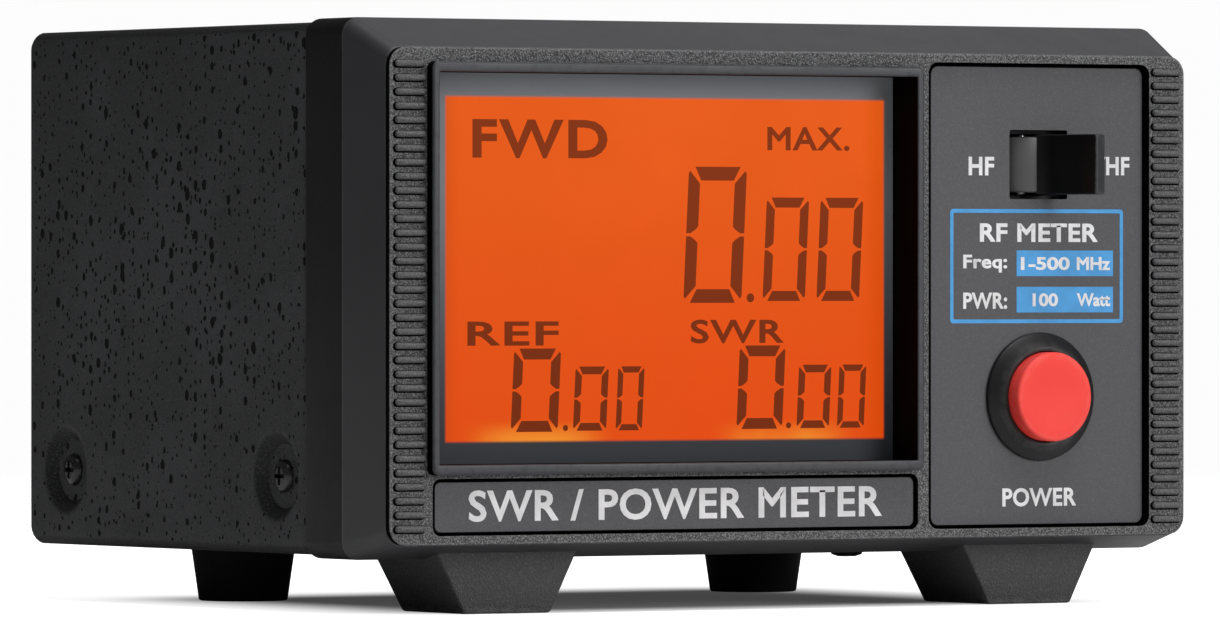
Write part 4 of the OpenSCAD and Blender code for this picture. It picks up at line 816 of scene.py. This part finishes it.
def makeSleeve():
    # each row is a depth, an inset at the sides, an inset at the top and bottom, and a corner radius
    s = sleeve
    halfX = sleeveHigh[0]
    low, high = sleeveLow[2], sleeveHigh[2]
    front, rear = sleeveLow[1], sleeveHigh[1]
    wall, radius, bend = s["wall"], s["radius"], s["rearRound"]
    lip, lipRadius, lipEdge = s["lip"], s["lipRadius"], s["lipEdge"]
    reach = s["dimpleRadius"] + s["dimpleRim"]
    depth = sideSamples(front + s["frontRound"], rear - bend, screwYs, reach, s["sideGrid"], s["flatGrid"])
    step = 0.3*s["frontRound"]
    rows = [(front, s["frontRound"], s["frontRound"], radius), (front + step, step, step, radius)]
    rows += [(y, 0, 0, radius) for y in depth]
    for t in np.linspace(0, math.pi/2, 7)[1:]:
        drawn = max(0, (math.sin(t) - s["sideDrawFrom"])/(1 - s["sideDrawFrom"]))
        rows.append((rear - bend + bend*math.sin(t), s["sideDraw"]*drawn**2, bend*(1 - math.cos(t)), radius))
    rows += [(rear, lip - lipEdge, lip - lipEdge, lipRadius), (rear - lipEdge, lip, lip, lipRadius),
        (rear - wall, lip, lip, lipRadius), (rear - wall, wall, wall, radius - wall),
        (front, wall, wall, radius - wall)]
    y, insetX, insetZ, radii = np.array(rows).T
    heights = sideSamples(low + radius, high - radius, [screwZ], reach, s["sideGrid"], s["flatGrid"])
    heights = (heights - heights[0])/(heights[-1] - heights[0])*2 - 1
    arc = np.linspace(0, math.pi/2, 7)[1:-1]
    # the outline's own parameter: each point's side, its share along it, and its place round the corner
    signX = np.concatenate([np.ones(len(heights) + len(arc)), -np.ones(len(arc) + len(heights) + len(arc)),
        np.ones(len(arc))])
    alongZ = np.concatenate([heights, np.ones(2*len(arc)), heights[::-1], -np.ones(2*len(arc))])
    outX = np.concatenate([np.ones(len(heights)), np.cos(arc), np.cos(arc[::-1]), np.ones(len(heights)),
        np.cos(arc), np.cos(arc[::-1])])
    outZ = np.concatenate([np.zeros(len(heights)), np.sin(arc), np.sin(arc[::-1]), np.zeros(len(heights)),
        -np.sin(arc), -np.sin(arc[::-1])])
    middle = (low + high)/2
    straight = (high - low)/2 - insetZ - radii
    x = signX*(halfX - insetX[:, None] - radii[:, None]*(1 - outX))
    z = middle + alongZ*straight[:, None] + radii[:, None]*outZ
    depthGrid = np.broadcast_to(y[:, None], x.shape).copy()
    outside = (insetX[:, None] < 0.05) & (outX > 0.999)
    for screwY in screwYs:
        away = np.hypot(depthGrid - screwY, z - screwZ)
        share = np.clip((s["dimpleRadius"] - away)/(s["dimpleRadius"] - s["dimpleFloor"]), 0, 1)
        x = x - np.where(outside, np.sign(x)*s["dimpleDepth"]*share*share*(3 - 2*share), 0)
    shell = Shell()
    shell.grid(np.stack([x, depthGrid, z], axis=-1), closeRows=True, closeColumns=True)
    shell.make("sleeve", ["sleeve_paint"], "root", ["sleeve_cover"], smooth=40.0)


makeSleeve()
print("sleeve")

# display frame: a ring with rounded front edges and a deep inner wall, and its lit segments and words

frameLook = dict(openingX=38.8, openingZ=26.65, innerRadius=0.15, outerRadius=1.0, edge=0.28, skirt=0.8)


def makeDisplayFrame():
    # a closed profile of (outward step, depth) carried round the opening; the step is larger at the top
    f = frameLook
    centre, halfX, halfZ = spread(frameLow, frameHigh)
    stepX, stepZ = halfX - f["openingX"], halfZ - f["openingZ"]
    front, back = frameLow[1], frameHigh[1]
    line = filleted([(0, back), (0, front), (1, front), (1, faceY), (f["skirt"], faceY), (f["skirt"], back)],
        [0, f["edge"]*0.7, f["edge"], 0, 0, 0])
    share = line[:, 0]
    radius = f["innerRadius"] + (f["outerRadius"] - f["innerRadius"])*np.clip(share, 0, 1)
    rows = roundedLoops(centre, f["openingX"] + stepX*share, f["openingZ"] + stepZ*share, radius, line[:, 1])
    shell = Shell()
    following = np.roll(line, -1, axis=0)
    # the inner wall and the outer side standing off the face are painted shade black
    wall = ((share < 0.01) & (following[:, 0] < 0.01)) | ((share > 0.99) & (following[:, 0] > 0.99))
    shell.grid(rows, closeRows=True, closeColumns=True, edge=crests(line), finish=wall.astype(int))
    shell.make("displayFrame", ["frame_plastic", "recess_black"], "root", ["display_frame"])


makeDisplayFrame()

# words: text, left, right, bottom, top, weight, spacing; digits: left, right, bottom, top; points: x, z and
# radius
segments = dict(thickness=0.02, lift=0.002, slant=2.9, gap=0.045, stroke=0.20,
    words=[("FWD", -49.4, -27.7, 62.2, 67.5, 0.030, 1.16), ("MAX.", -1.6, 12.0, 63.5, 66.8, 0.022, 1.08),
        ("REF", -50.2, -35.6, 36.6, 39.9, 0.022, 1.1), ("SWR", -14.2, 1.1, 36.8, 40.1, 0.022, 1.1)],
    digits=[(-15.4, -4.95, 42.4, 61.2), (-2.4, 5.3, 42.65, 57.0), (6.5, 14.3, 42.65, 57.0),
        (-43.3, -35.2, 24.8, 36.2), (-33.3, -27.5, 24.9, 33.7), (-26.4, -21.7, 24.9, 33.7),
        (-6.7, 1.4, 24.95, 36.5), (3.2, 9.0, 25.0, 33.8), (9.9, 14.8, 25.0, 33.8)],
    points=[(-4.4, 43.1, 0.62), (-34.5, 25.3, 0.42), (1.9, 25.4, 0.42)])


def slab(shell, outline, front, back, finish=0):
    # a flat outline of (x, z) given a thickness
    outline = np.asarray(outline, float)
    rows = np.stack([np.column_stack([outline[:, 0], np.full(len(outline), y), outline[:, 1]])
        for y in (front, back)])
    shell.grid(rows, closeColumns=True, finish=finish)
    shell.fill([rows[0]], finish=finish)
    shell.fill([rows[1]], finish=finish)


def zeroDigit(x0, x1, z0, z1):
    # the six lit segments of a zero, mitred at the corners and notched half way up, then slanted
    lean = math.tan(segments["slant"]*toRadians)
    high = z1 - z0
    wide = x1 - x0 - lean*high
    t, g = wide*segments["stroke"], wide*segments["gap"]
    top = [(1.35*g + 0.25*t, high), (wide - 1.35*g - 0.25*t, high), (wide - t - g*0.4, high - t),
        (t + g*0.4, high - t)]
    upper = [(0, high - 0.5*t), (0.12*t, high - 0.30*t), (t, high - t - g), (t, high/2 + 0.60*t),
        (0.78*t, high/2 + 0.38*t), (0.36*t, high/2 + g*0.5), (0, high/2 + g*0.5)]
    lower = [(a, high - b) for a, b in upper]
    bottom = [(a, high - b) for a, b in top]
    shapes = [top, bottom]
    for shape in (upper, lower):
        shapes += [shape, [(wide - a, b) for a, b in shape]]
    return [[(x0 + a + lean*b, z0 + b) for a, b in shape] for shape in shapes]


def wordMesh(text, x0, x1, z0, z1, depth, thickness, weight=0.0, gap=1.0):
    # a word in the built-in face, fitted to a box seen from the front: its flat fill is made bolder by moving
    # each rim point along the mitre of its two edges, then given a front, a back and a side
    curve = bpy.data.curves.new("word", "FONT")
    curve.body = text
    curve.resolution_u = 4
    curve.space_character = gap
    thing = bpy.data.objects.new("word", curve)
    bpy.context.scene.collection.objects.link(thing)
    mesh = thing.to_mesh()
    points = np.zeros(len(mesh.vertices)*3)
    mesh.vertices.foreach_get("co", points)
    mesh.calc_loop_triangles()
    triangles = np.zeros(len(mesh.loop_triangles)*3, int)
    mesh.loop_triangles.foreach_get("vertices", triangles)
    thing.to_mesh_clear()
    bpy.data.objects.remove(thing)
    bpy.data.curves.remove(curve)
    flat, index = np.unique(np.round(points.reshape(-1, 3)[:, :2], 5), axis=0, return_inverse=True)
    triangles = index.reshape(-1)[triangles].reshape(-1, 3)
    a, b, c = (flat[triangles[:, k]] for k in range(3))
    area = (b[:, 0] - a[:, 0])*(c[:, 1] - a[:, 1]) - (b[:, 1] - a[:, 1])*(c[:, 0] - a[:, 0])
    triangles = np.where(area[:, None] < 0, triangles[:, ::-1], triangles)[np.abs(area) > 1e-9]
    edges = np.concatenate([triangles[:, [0, 1]], triangles[:, [1, 2]], triangles[:, [2, 0]]])
    count = len(flat)
    rim = edges[~np.isin(edges[:, 0]*count + edges[:, 1], edges[:, 1]*count + edges[:, 0])]
    way = flat[rim[:, 1]] - flat[rim[:, 0]]
    out = np.stack([way[:, 1], -way[:, 0]], axis=-1)/np.hypot(way[:, 0], way[:, 1])[:, None]
    total = np.zeros_like(flat)
    np.add.at(total, rim[:, 0], out)
    np.add.at(total, rim[:, 1], out)
    flat = flat + weight*2*total/np.maximum((total**2).sum(1), 1.1)[:, None]
    low, high = flat.min(0), flat.max(0)
    x = x0 + (flat[:, 0] - low[0])/(high[0] - low[0])*(x1 - x0)
    z = z0 + (flat[:, 1] - low[1])/(high[1] - low[1])*(z1 - z0)
    layers = [np.stack([x, np.full(count, y), z], axis=-1) for y in (depth - thickness, depth)]
    sides = np.stack([rim[:, 0], rim[:, 1], rim[:, 1] + count, rim[:, 0] + count], axis=-1)
    return np.concatenate(layers), triangles.tolist() + (triangles[:, ::-1] + count).tolist() + sides.tolist()


def makeSegments():
    shell = Shell()
    depth = corners("lcd_front_film")[0][1] - segments["lift"]
    thin = segments["thickness"]
    for text, x0, x1, z0, z1, weight, gap in segments["words"]:
        shell.soup(*wordMesh(text, x0, x1, z0, z1, depth, thin, weight, gap))
    for x0, x1, z0, z1 in segments["digits"]:
        for outline in zeroDigit(x0, x1, z0, z1):
            slab(shell, outline, depth - thin, depth)
    for x, z, radius in segments["points"]:
        slab(shell, circleLoop((x, z), radius, 0, 24)[:, [0, 2]], depth - thin, depth)
    shell.make("displaySegments", ["segment_ink"], "root")


makeSegments()
print("display")

# title plate and control plate with their print

# the plates' margins are a painted shadow line, widest on the left
plateLook = dict(edge=0.14, titleRadius=0.85, controlRadius=1.15, titleMargin=(0.32, 0.16, 0.16, 0.16),
    controlMargin=(0.80, 0.16, 0.16, 0.20), barrelLap=0.9, windowX=9.8, windowZ=9.7, windowCorner=0.3)
ringLow, ringHigh = corners("power_ring")
housingLow, housingHigh = corners("band_switch_housing")
powerAt = ((ringLow[0] + ringHigh[0])/2, (ringLow[2] + ringHigh[2])/2)
bandAt = ((housingLow[0] + housingHigh[0])/2, (housingLow[2] + housingHigh[2])/2)


def makePlate(name, node, radius, margin, holes):
    # an outline with a rounded front edge, carried back by the plate's thickness, with a margin (left, right,
    # bottom, top) round its painted front; the edge, the margin and the hole walls are painted shade black,
    # as a shadow line round the plate; holes are walls of their own
    low, high = corners(node)
    centre, halfX, halfZ = spread(low, high)
    e = plateLook["edge"]
    line = filleted([(e, low[1]), (0, low[1]), (0, high[1])], [0, e*0.9, 0], 3)
    rows = roundedLoops(centre, halfX - line[:, 0], halfZ - line[:, 0], radius - line[:, 0], line[:, 1])
    left, right, bottom, top = margin
    painted = (centre[0] + (left - right)/2, centre[1] + (bottom - top)/2)
    inner = roundedLoops(painted, halfX - (left + right)/2, halfZ - (bottom + top)/2, radius, low[1])[0]
    shell = Shell()
    shell.grid(rows, closeColumns=True, edge=crests(line), finish=1)
    shell.grid(np.stack([rows[0], inner]), closeColumns=True, finish=1)
    frontLoops, backLoops = [inner], [rows[-1]]
    for loopAt in holes:
        wall = np.stack([loopAt(low[1]), loopAt(high[1])])
        shell.grid(wall, closeColumns=True, finish=1)
        frontLoops.append(wall[0])
        backLoops.append(wall[1])
    shell.fill(frontLoops)
    shell.fill(backLoops)
    shell.make(name, ["plate_paint", "recess_black"], "root", [node])
    return low[1]


def barrelHole(y):
    return circleLoop(powerAt, (ringHigh[0] - ringLow[0])/2 - plateLook["barrelLap"], y)


def leverWindow(y):
    return roundedLoops(bandAt, plateLook["windowX"]/2, plateLook["windowZ"]/2, plateLook["windowCorner"], y,
        4)[0]


titleFront = makePlate("titlePlate", "title_plate", plateLook["titleRadius"], plateLook["titleMargin"], [])
controlFront = makePlate("controlPlate", "control_plate", plateLook["controlRadius"],
    plateLook["controlMargin"], [barrelHole, leverWindow])

# words: text, left, right, bottom, top, weight; bars: left, right, bottom, top
printed = dict(thickness=0.03, lift=0.001, spacing=1.06, barWeight=0.03,
    titleWords=[("SWR / POWER METER", -52.6, 14.6, 12.7, 17.0, 0.022)],
    plateWords=[("POWER", 35.2, 47.7, 13.8, 16.4, 0.028), ("HF", 29.5, 33.8, 60.2, 62.8, 0.03),
        ("VHF", 50.4, 56.8, 60.3, 62.9, 0.03), ("RF METER", 31.4, 51.4, 50.9, 53.5, 0.03),
        ("Freq:", 28.6, 36.0, 46.6, 49.1, 0.03), ("PWR:", 28.6, 36.0, 41.5, 43.8, 0.03)],
    barWords=[("1-500", 38.3, 46.6, 46.95, 48.8), ("MHz", 47.8, 53.5, 46.95, 48.8),
        ("100", 40.3, 44.6, 41.85, 43.7), ("Watt", 47.8, 53.5, 41.85, 43.7)],
    bars=[(37.6, 54.0, 46.1, 49.7), (37.6, 54.0, 41.0, 44.6)],
    frameX=(26.4, 55.7), frameZ=(39.5, 55.5), frameLine=0.55, frameRadius=0.5)


def makePrint():
    # the blue bars lie on the plate, and their own words on them
    p = printed
    thick, lift, line = p["thickness"], p["lift"], p["frameLine"]
    shell = Shell()
    for front, words in ((titleFront, p["titleWords"]), (controlFront, p["plateWords"])):
        for text, x0, x1, z0, z1, weight in words:
            shell.soup(*wordMesh(text, x0, x1, z0, z1, front - lift, thick, weight, p["spacing"]))
    for text, x0, x1, z0, z1 in p["barWords"]:
        shell.soup(*wordMesh(text, x0, x1, z0, z1, controlFront - thick - 2*lift, thick, p["barWeight"]))
    shell.make("whitePrint", ["white_print"], "root", smooth=20.0)
    shell = Shell()
    (left, right), (bottom, top) = p["frameX"], p["frameZ"]
    back = controlFront - lift
    inset = np.array([0, 0, line, line])
    shell.grid(roundedLoops(((left + right)/2, (bottom + top)/2), (right - left)/2 - inset,
        (top - bottom)/2 - inset, p["frameRadius"] - inset*0.6, [back, back - thick, back - thick, back]),
        closeRows=True, closeColumns=True)
    for x0, x1, z0, z1 in p["bars"]:
        slab(shell, [(x0, z0), (x1, z0), (x1, z1), (x0, z1)], back - thick, back)
    shell.make("bluePrint", ["blue_print"], "root", smooth=20.0)


makePrint()
print("plates and print")

# push button: ring and cap turned from profiles with rounded corners, the cap slightly dished

button = dict(bore=6.35, boreStep=0.6, rim=6.95, rise=1.75, shoulderIn=0.55, shoulderRise=0.85, edge=0.5,
    barrel=7.9, cap=6.25, capRound=0.42, capFlat=1.5, capBack=1.85, stem=2.2, dish=0.12)


def makeButton():
    b = button
    outer = (ringHigh[0] - ringLow[0])/2
    front = controlFront - b["rise"]
    line = filleted([(b["bore"], front + b["boreStep"]), (b["bore"], front), (b["rim"], front),
        (outer - b["shoulderIn"], controlFront - b["shoulderRise"]), (outer, controlFront - b["edge"]),
        (outer, controlFront), (b["barrel"], controlFront), (b["barrel"], ringHigh[1]),
        (b["bore"], ringHigh[1])], [0, 0.18, 0.22, 0.5, 0.35, 0, 0, 0.2, 0])
    shell = Shell()
    edge = np.where(np.abs(line[:, 1] - front) < 0.12, 1.0, 0.0)
    shell.grid(turned(powerAt, line), closeRows=True, closeColumns=True, edge=edge)
    shell.make("buttonRing", ["ring_plastic"], "root", ["power_ring"])
    capLow, capHigh = corners("power_button")
    flat, pole = b["cap"] - b["capFlat"], 0.0005
    corner = filleted([(flat, capLow[1]), (b["cap"], capLow[1]), (b["cap"], capLow[1] + 3)],
        [0, b["capRound"], 0], 8)
    reach = np.linspace(pole, 1, 7)[:-1]*flat
    face = np.column_stack([reach, capLow[1] + b["dish"]*(1 - (reach/flat)**2)])
    back = corners("button_spring")[0][1] - b["capBack"]
    rest = [(b["cap"], back), (b["stem"], back), (b["stem"], capHigh[1]), (pole, capHigh[1])]
    line = np.concatenate([face, corner, rest])
    shell = Shell()
    edge = np.where((line[:, 1] < capLow[1] + 0.6) & (line[:, 0] > b["cap"] - 0.7), 1.0, 0.0)
    shell.grid(turned(powerAt, line), closeColumns=True, edge=edge)
    shell.make("buttonCap", ["button_red"], "power_button_body", ["power_button"], weld=0.002)


makeButton()

# band lever: a turned barrel and a paddle whose sections are rounded rectangles, flared near the barrel

lever = dict(axisDepth=6.1, barrel=4.6, barrelHalf=3.9, barrelEdge=0.3, bore=1.05, reach=14.2, thickness=2.2,
    height=8.45, corner=0.3, lean=20.0, edge=0.35, flare=0.7, flareLength=2.6, sunk=0.6)


def makeLever():
    v = lever
    pivot = np.array([bandAt[0], faceY + v["axisDepth"], bandAt[1]])
    shell = Shell()
    bore, barrel, high = v["bore"], v["barrel"], v["barrelHalf"]
    line = filleted([(bore, -high), (barrel, -high), (barrel, high), (bore, high)],
        [0, v["barrelEdge"], v["barrelEdge"], 0])
    upright = turned((0, 0), line)[..., [0, 2, 1]] + pivot
    # the barrel takes a paler plastic as a painted highlight
    shell.grid(upright, closeRows=True, closeColumns=True, finish=1)
    start = barrel - v["sunk"]
    along = np.concatenate([np.linspace(start, barrel + 2.2, 8), np.linspace(7.6, v["reach"] - v["edge"], 4)])
    flare = v["flare"]*np.clip(1 - (along - start)/v["flareLength"], 0, 1)**2
    halfX = v["thickness"]/2 + flare
    halfZ = np.full(len(along), v["height"]/2)
    turn = np.linspace(0, math.pi/2, 5)[1:]
    tip = v["reach"] - v["edge"] + v["edge"]*np.sin(turn)
    inset = v["edge"]*(1 - np.cos(turn))
    along = np.concatenate([along, tip])
    halfX = np.concatenate([halfX, v["thickness"]/2 - inset])
    halfZ = np.concatenate([halfZ, v["height"]/2 - inset])
    rows = roundedLoops((0, 0), halfX, halfZ, v["corner"], -along, 5)
    lean = v["lean"]*toRadians
    swing = np.array([[math.cos(lean), math.sin(lean), 0], [-math.sin(lean), math.cos(lean), 0], [0, 0, 1]])
    rows = rows @ swing + pivot
    # the tip's end face takes the paler frame plastic as painted light, and its rim is also paled by wear
    shell.grid(rows, closeColumns=True, edge=(along > v["reach"] - v["edge"]*0.7).astype(float),
        finish=np.where(along[1:] > v["reach"] - 0.1, 2, 0))
    shell.fill([rows[0]])
    shell.fill([rows[-1]], finish=2)
    shell.make("bandLever", ["lever_plastic", "drum_plastic", "frame_plastic"], "band_lever_body",
        ["band_lever"])


makeLever()
print("button and lever")

# feet: front ones are rows of rounded rectangles that widen upwards, rear ones are turned

feet = dict(baseHalf=6.9, topHalf=11.2, height=7.5, depthHalf=8.25, round=0.3, corner=0.35, screwRadius=3.0,
    screwSink=4.0, slope=0.2273, slopeEnd=9.8, rearBase=6.3, rearTop=7.45, rearRound=0.4, rearHoleRound=0.3)


def makeFeet():
    f = feet
    for name, node in (("leftFrontFoot", "left_front_foot"), ("rightFrontFoot", "right_front_foot")):
        low, high = corners(node)
        middle = ((low[0] + high[0])/2, (low[1] + high[1])/2)
        turn = np.linspace(0, math.pi/2, 5)
        levels = np.concatenate([f["round"]*(1 - np.cos(turn)), np.linspace(1.5, f["height"], 5)])
        inset = np.concatenate([f["round"]*(1 - np.sin(turn)), np.zeros(5)])
        halfX = f["baseHalf"] + (f["topHalf"] - f["baseHalf"])*levels/f["height"] - inset
        halfY = f["depthHalf"] - inset
        rows = roundedLoops(middle, halfX, halfY, f["corner"], levels, 5)[..., [0, 2, 1]]
        # taller towards the front, up to the bezel's sloping underside
        tall = f["height"] + f["slope"]*np.clip(faceY + f["slopeEnd"] - rows[..., 1], 0, None)
        rows[..., 2] *= tall/f["height"]
        shell = Shell()
        shell.grid(rows, closeColumns=True, edge=np.where(levels < 0.35, 0.8, 0.0))
        hole = circleLoop(middle, f["screwRadius"], 0, 40)[:, [0, 2, 1]]
        sunk = hole + np.array([0, 0, f["screwSink"]])
        shell.grid(np.stack([hole, sunk]), closeColumns=True)
        shell.fill([rows[0], hole])
        shell.fill([sunk])
        shell.fill([rows[-1]])
        shell.make(name, ["foot_plastic"], "root", [node])
    low, high = corners("rear_feet")
    hole, sink, pole = f["screwRadius"], f["screwSink"], 0.001
    line = filleted([(pole, sink), (hole, sink), (hole, 0), (f["rearBase"], 0), (f["rearTop"], high[2]),
        (pole, high[2])], [0, 0, f["rearHoleRound"], f["rearRound"], 0, 0])
    shell = Shell()
    for hand in (-1, 1):
        centre = (hand*(high[0] - f["rearTop"]), (low[1] + high[1])/2)
        shell.grid(turned(centre, line, 64)[..., [0, 2, 1]], closeColumns=True)
    shell.make("rearFeet", ["foot_rubber"], "root", ["rear_feet"], weld=0.003)


makeFeet()
print("feet")

# coaxial sockets: a drilled flange and a shell whose radius follows a screw thread

socket = dict(thread=7.94, threadDepth=0.5, pitch=25.4/24, threadFade=0.8, flange=2.4, flangeRadius=1.5,
    flangeBehind=5.0, holeRadius=1.7, holePitch=18.2, bore=6.1, boreDepth=1.0, boreEdge=0.2, edge=0.25,
    notches=8, notchDepth=0.55)


def makeSocket(name, node):
    # the thread's radius is a cosine of the depth less the angle, so that its crests climb one pitch a turn;
    # shallow notches are cut round the lip
    s = socket
    low, high = corners(node)
    centre, half, _ = spread(low, high)
    rear = high[1]
    flangeFront = corners("socket_insulators")[1][1] - s["flangeBehind"]
    flangeBack = flangeFront - s["flange"]
    shell = Shell()
    line = filleted([(0, flangeBack), (0, flangeFront), (s["edge"], flangeFront)], [0, s["edge"]*0.9, 0], 3)
    rows = roundedLoops(centre, half - line[:, 0], half - line[:, 0], s["flangeRadius"], line[:, 1])
    shell.grid(rows, closeColumns=True, edge=np.linspace(0, 1, len(line)))
    frontLoops, backLoops = [rows[-1]], [rows[0]]
    for u in (-1, 1):
        for v in (-1, 1):
            at = (centre[0] + u*s["holePitch"]/2, centre[1] + v*s["holePitch"]/2)
            wall = np.stack([circleLoop(at, s["holeRadius"], y, 32) for y in (flangeBack, flangeFront)])
            shell.grid(wall, closeColumns=True)
            frontLoops.append(wall[1])
            backLoops.append(wall[0])
    angle = np.linspace(0, 2*math.pi, 72, endpoint=False)
    depth = np.arange(flangeFront, rear - 0.2, s["pitch"]/9)
    fade = np.clip((depth - flangeFront - 0.5)/s["threadFade"], 0, 1)*np.clip((rear - 0.3 - depth)/0.6, 0, 1)
    wave = 0.5 + 0.5*np.cos(2*math.pi*(depth[:, None]/s["pitch"]) - angle)
    radius = s["thread"] - s["threadDepth"] + s["threadDepth"]*fade[:, None]*wave**0.8
    barrel = np.stack([centre[0] + radius*np.cos(angle), np.broadcast_to(depth[:, None], radius.shape),
        centre[1] + radius*np.sin(angle)], axis=-1)
    root = s["thread"] - s["threadDepth"]
    lip = turned(centre, [(root - 0.15, rear), (s["bore"] + s["boreEdge"], rear),
        (s["bore"], rear - s["boreEdge"]), (s["bore"], flangeBack + s["boreDepth"])], 72)
    notch = 0.5 + 0.5*np.tanh(14*(np.cos(s["notches"]*angle) - 0.35))
    lip[:2, :, 1] -= s["notchDepth"]*notch
    shell.grid(np.concatenate([barrel, lip]), closeColumns=True)
    frontLoops.append(barrel[0])
    shell.fill(frontLoops)
    shell.fill(backLoops)
    shell.fill([lip[-1]])
    shell.make(name, ["socket_nickel"], "root", [node], smooth=50.0)


for name, node in (("hfTransmitterSocket", "hf_tx_socket"), ("hfAntennaSocket", "hf_antenna_socket"),
        ("vhfTransmitterSocket", "vhf_tx_socket"), ("vhfAntennaSocket", "vhf_antenna_socket")):
    makeSocket(name, node)


# a label's width by its text, its height, and its gap from the piece it names
rearPrint = dict(widths={"TX": 4.0, "ANT": 6.0, "HF": 4.2, "VHF": 6.4, "DC IN": 9.5}, weight=0.03,
    underSocket=[("TX", "hf_tx_socket"), ("ANT", "hf_antenna_socket"), ("TX", "vhf_tx_socket"),
        ("ANT", "vhf_antenna_socket")], underDrop=4.6, underHeight=2.6,
    overPair=[("HF", "hf_tx_socket", "hf_antenna_socket"), ("VHF", "vhf_tx_socket", "vhf_antenna_socket")],
    overGap=2.0, overHeight=2.8, inletGap=1.6, inletHeight=2.4)


def makeRearPrint():
    # generic names by the sockets and the inlet; the back is read from behind, so x runs the other way
    r = rearPrint
    panel = corners("rear_panel")[1][1]
    shell = Shell()
    places = []
    for text, node in r["underSocket"]:
        low, high = corners(node)
        places.append((text, (low[0] + high[0])/2, low[2] - r["underDrop"], r["underHeight"]))
    for text, one, other in r["overPair"]:
        places.append((text, (corners(one)[0][0] + corners(other)[1][0])/2, corners(one)[1][2] + r["overGap"],
            r["overHeight"]))
    low, high = corners("power_inlet")
    places.append(("DC IN", (low[0] + high[0])/2, high[2] + r["inletGap"], r["inletHeight"]))
    for text, x, z, high in places:
        half = r["widths"][text]/2
        points, faces = wordMesh(text, -half, half, z, z + high, 0, printed["thickness"], r["weight"])
        points[:, 0] = x - points[:, 0]
        points[:, 1] = panel + printed["lift"] - points[:, 1]
        shell.soup(points, faces)
    shell.make("rearPrint", ["white_print"], "root", smooth=20.0)


makeRearPrint()
print("sockets")

# small fixed pieces keep their CAD shape, with their edges rounded

softEdges = dict(weld=0.002, segments=2, angle=35.0, widths={"side_screws": 0.12, "case_screws": 0.12,
    "socket_screws": 0.12, "foot_screws": 0.12, "power_inlet": 0.2, "inlet_nut": 0.2, "socket_contacts": 0.1,
    "socket_insulators": 0.12, "band_switch_housing": 0.15, "lever_pin": 0.1})
for name, width in softEdges["widths"].items():
    thing = frame["nodes"][name]
    join = thing.modifiers.new("join", "WELD")
    join.merge_threshold = softEdges["weld"]*mm
    soften = thing.modifiers.new("soften", "BEVEL")
    soften.width = width*mm
    soften.segments = softEdges["segments"]
    soften.limit_method = "ANGLE"
    soften.angle_limit = softEdges["angle"]*toRadians
print("small pieces")


def makeWorld():
    # plain backdrop for the camera, dim even light for everything else
    world = bpy.data.worlds.new("studioWorld")
    bpy.context.scene.world = world
    world.use_nodes = True
    tree = world.node_tree
    seen = tree.nodes.new("ShaderNodeLightPath").outputs["Is Camera Ray"]
    feed(tree, tree.nodes["Background"], {"Color": blendColours(tree, seen, colour(studio["ambient"]),
        colour(studio["backdrop"]))})


def makeFloor():
    # a flat disc that fades out at its rim, so that no line shows where it ends
    rows, columns = 24, 96
    rings = np.linspace(0.02, studio["floorRadius"], rows)[:, None]
    angle = np.linspace(0, 2*math.pi, columns, endpoint=False)
    points = np.stack([rings*np.cos(angle), rings*np.sin(angle), np.zeros((rows, columns))], axis=-1)
    faces = quads(rows, columns, closeColumns=True).tolist() + [list(range(columns))]
    mesh = bpy.data.meshes.new("floor")
    mesh.from_pydata(points.reshape(-1, 3).tolist(), [], faces)
    material, tree, shader, place = startMaterial("floorPaper", {})
    away = add(tree, "ShaderNodeVectorMath", {0: place}, operation="LENGTH").outputs["Value"]
    # a glow for the camera only, which leaves out the ground under the object and close by it, so that a
    # painted shadow lies there, with a dim painted shade under the object
    parts = splitVector(tree, place)
    beyond = [calc(tree, "MAXIMUM", calc(tree, "SUBTRACT", calc(tree, "ABSOLUTE", parts[k]),
        cadBox[1][k] - studio["floorInset"])) for k in (0, 1)]
    gone = calc(tree, "SQRT", calc(tree, "ADD", *[calc(tree, "MULTIPLY", v, v) for v in beyond]))
    seen = tree.nodes.new("ShaderNodeLightPath").outputs["Is Camera Ray"]
    glow = calc(tree, "MULTIPLY", ramp(tree, gone, 0.0, studio["floorGlowReach"]), seen)
    dim = blendColours(tree, seen, colour(0.0), colour(studio["floorShade"]))
    rim = studio["floorRadius"]
    feed(tree, shader, {"Base Color": colour(studio["floorColour"]), "Roughness": studio["floorRough"],
        "Emission Color": blendColours(tree, glow, dim, colour(1.0)),
        "Emission Strength": studio["floorGlow"],
        "Alpha": ramp(tree, away, rim - studio["floorFade"], rim, 1.0, 0.0)})
    mesh.materials.append(material)
    thing = bpy.data.objects.new("floor", mesh)
    bpy.context.scene.collection.objects.link(thing)


makeWorld()
makeFloor()
print("floor and backdrop")
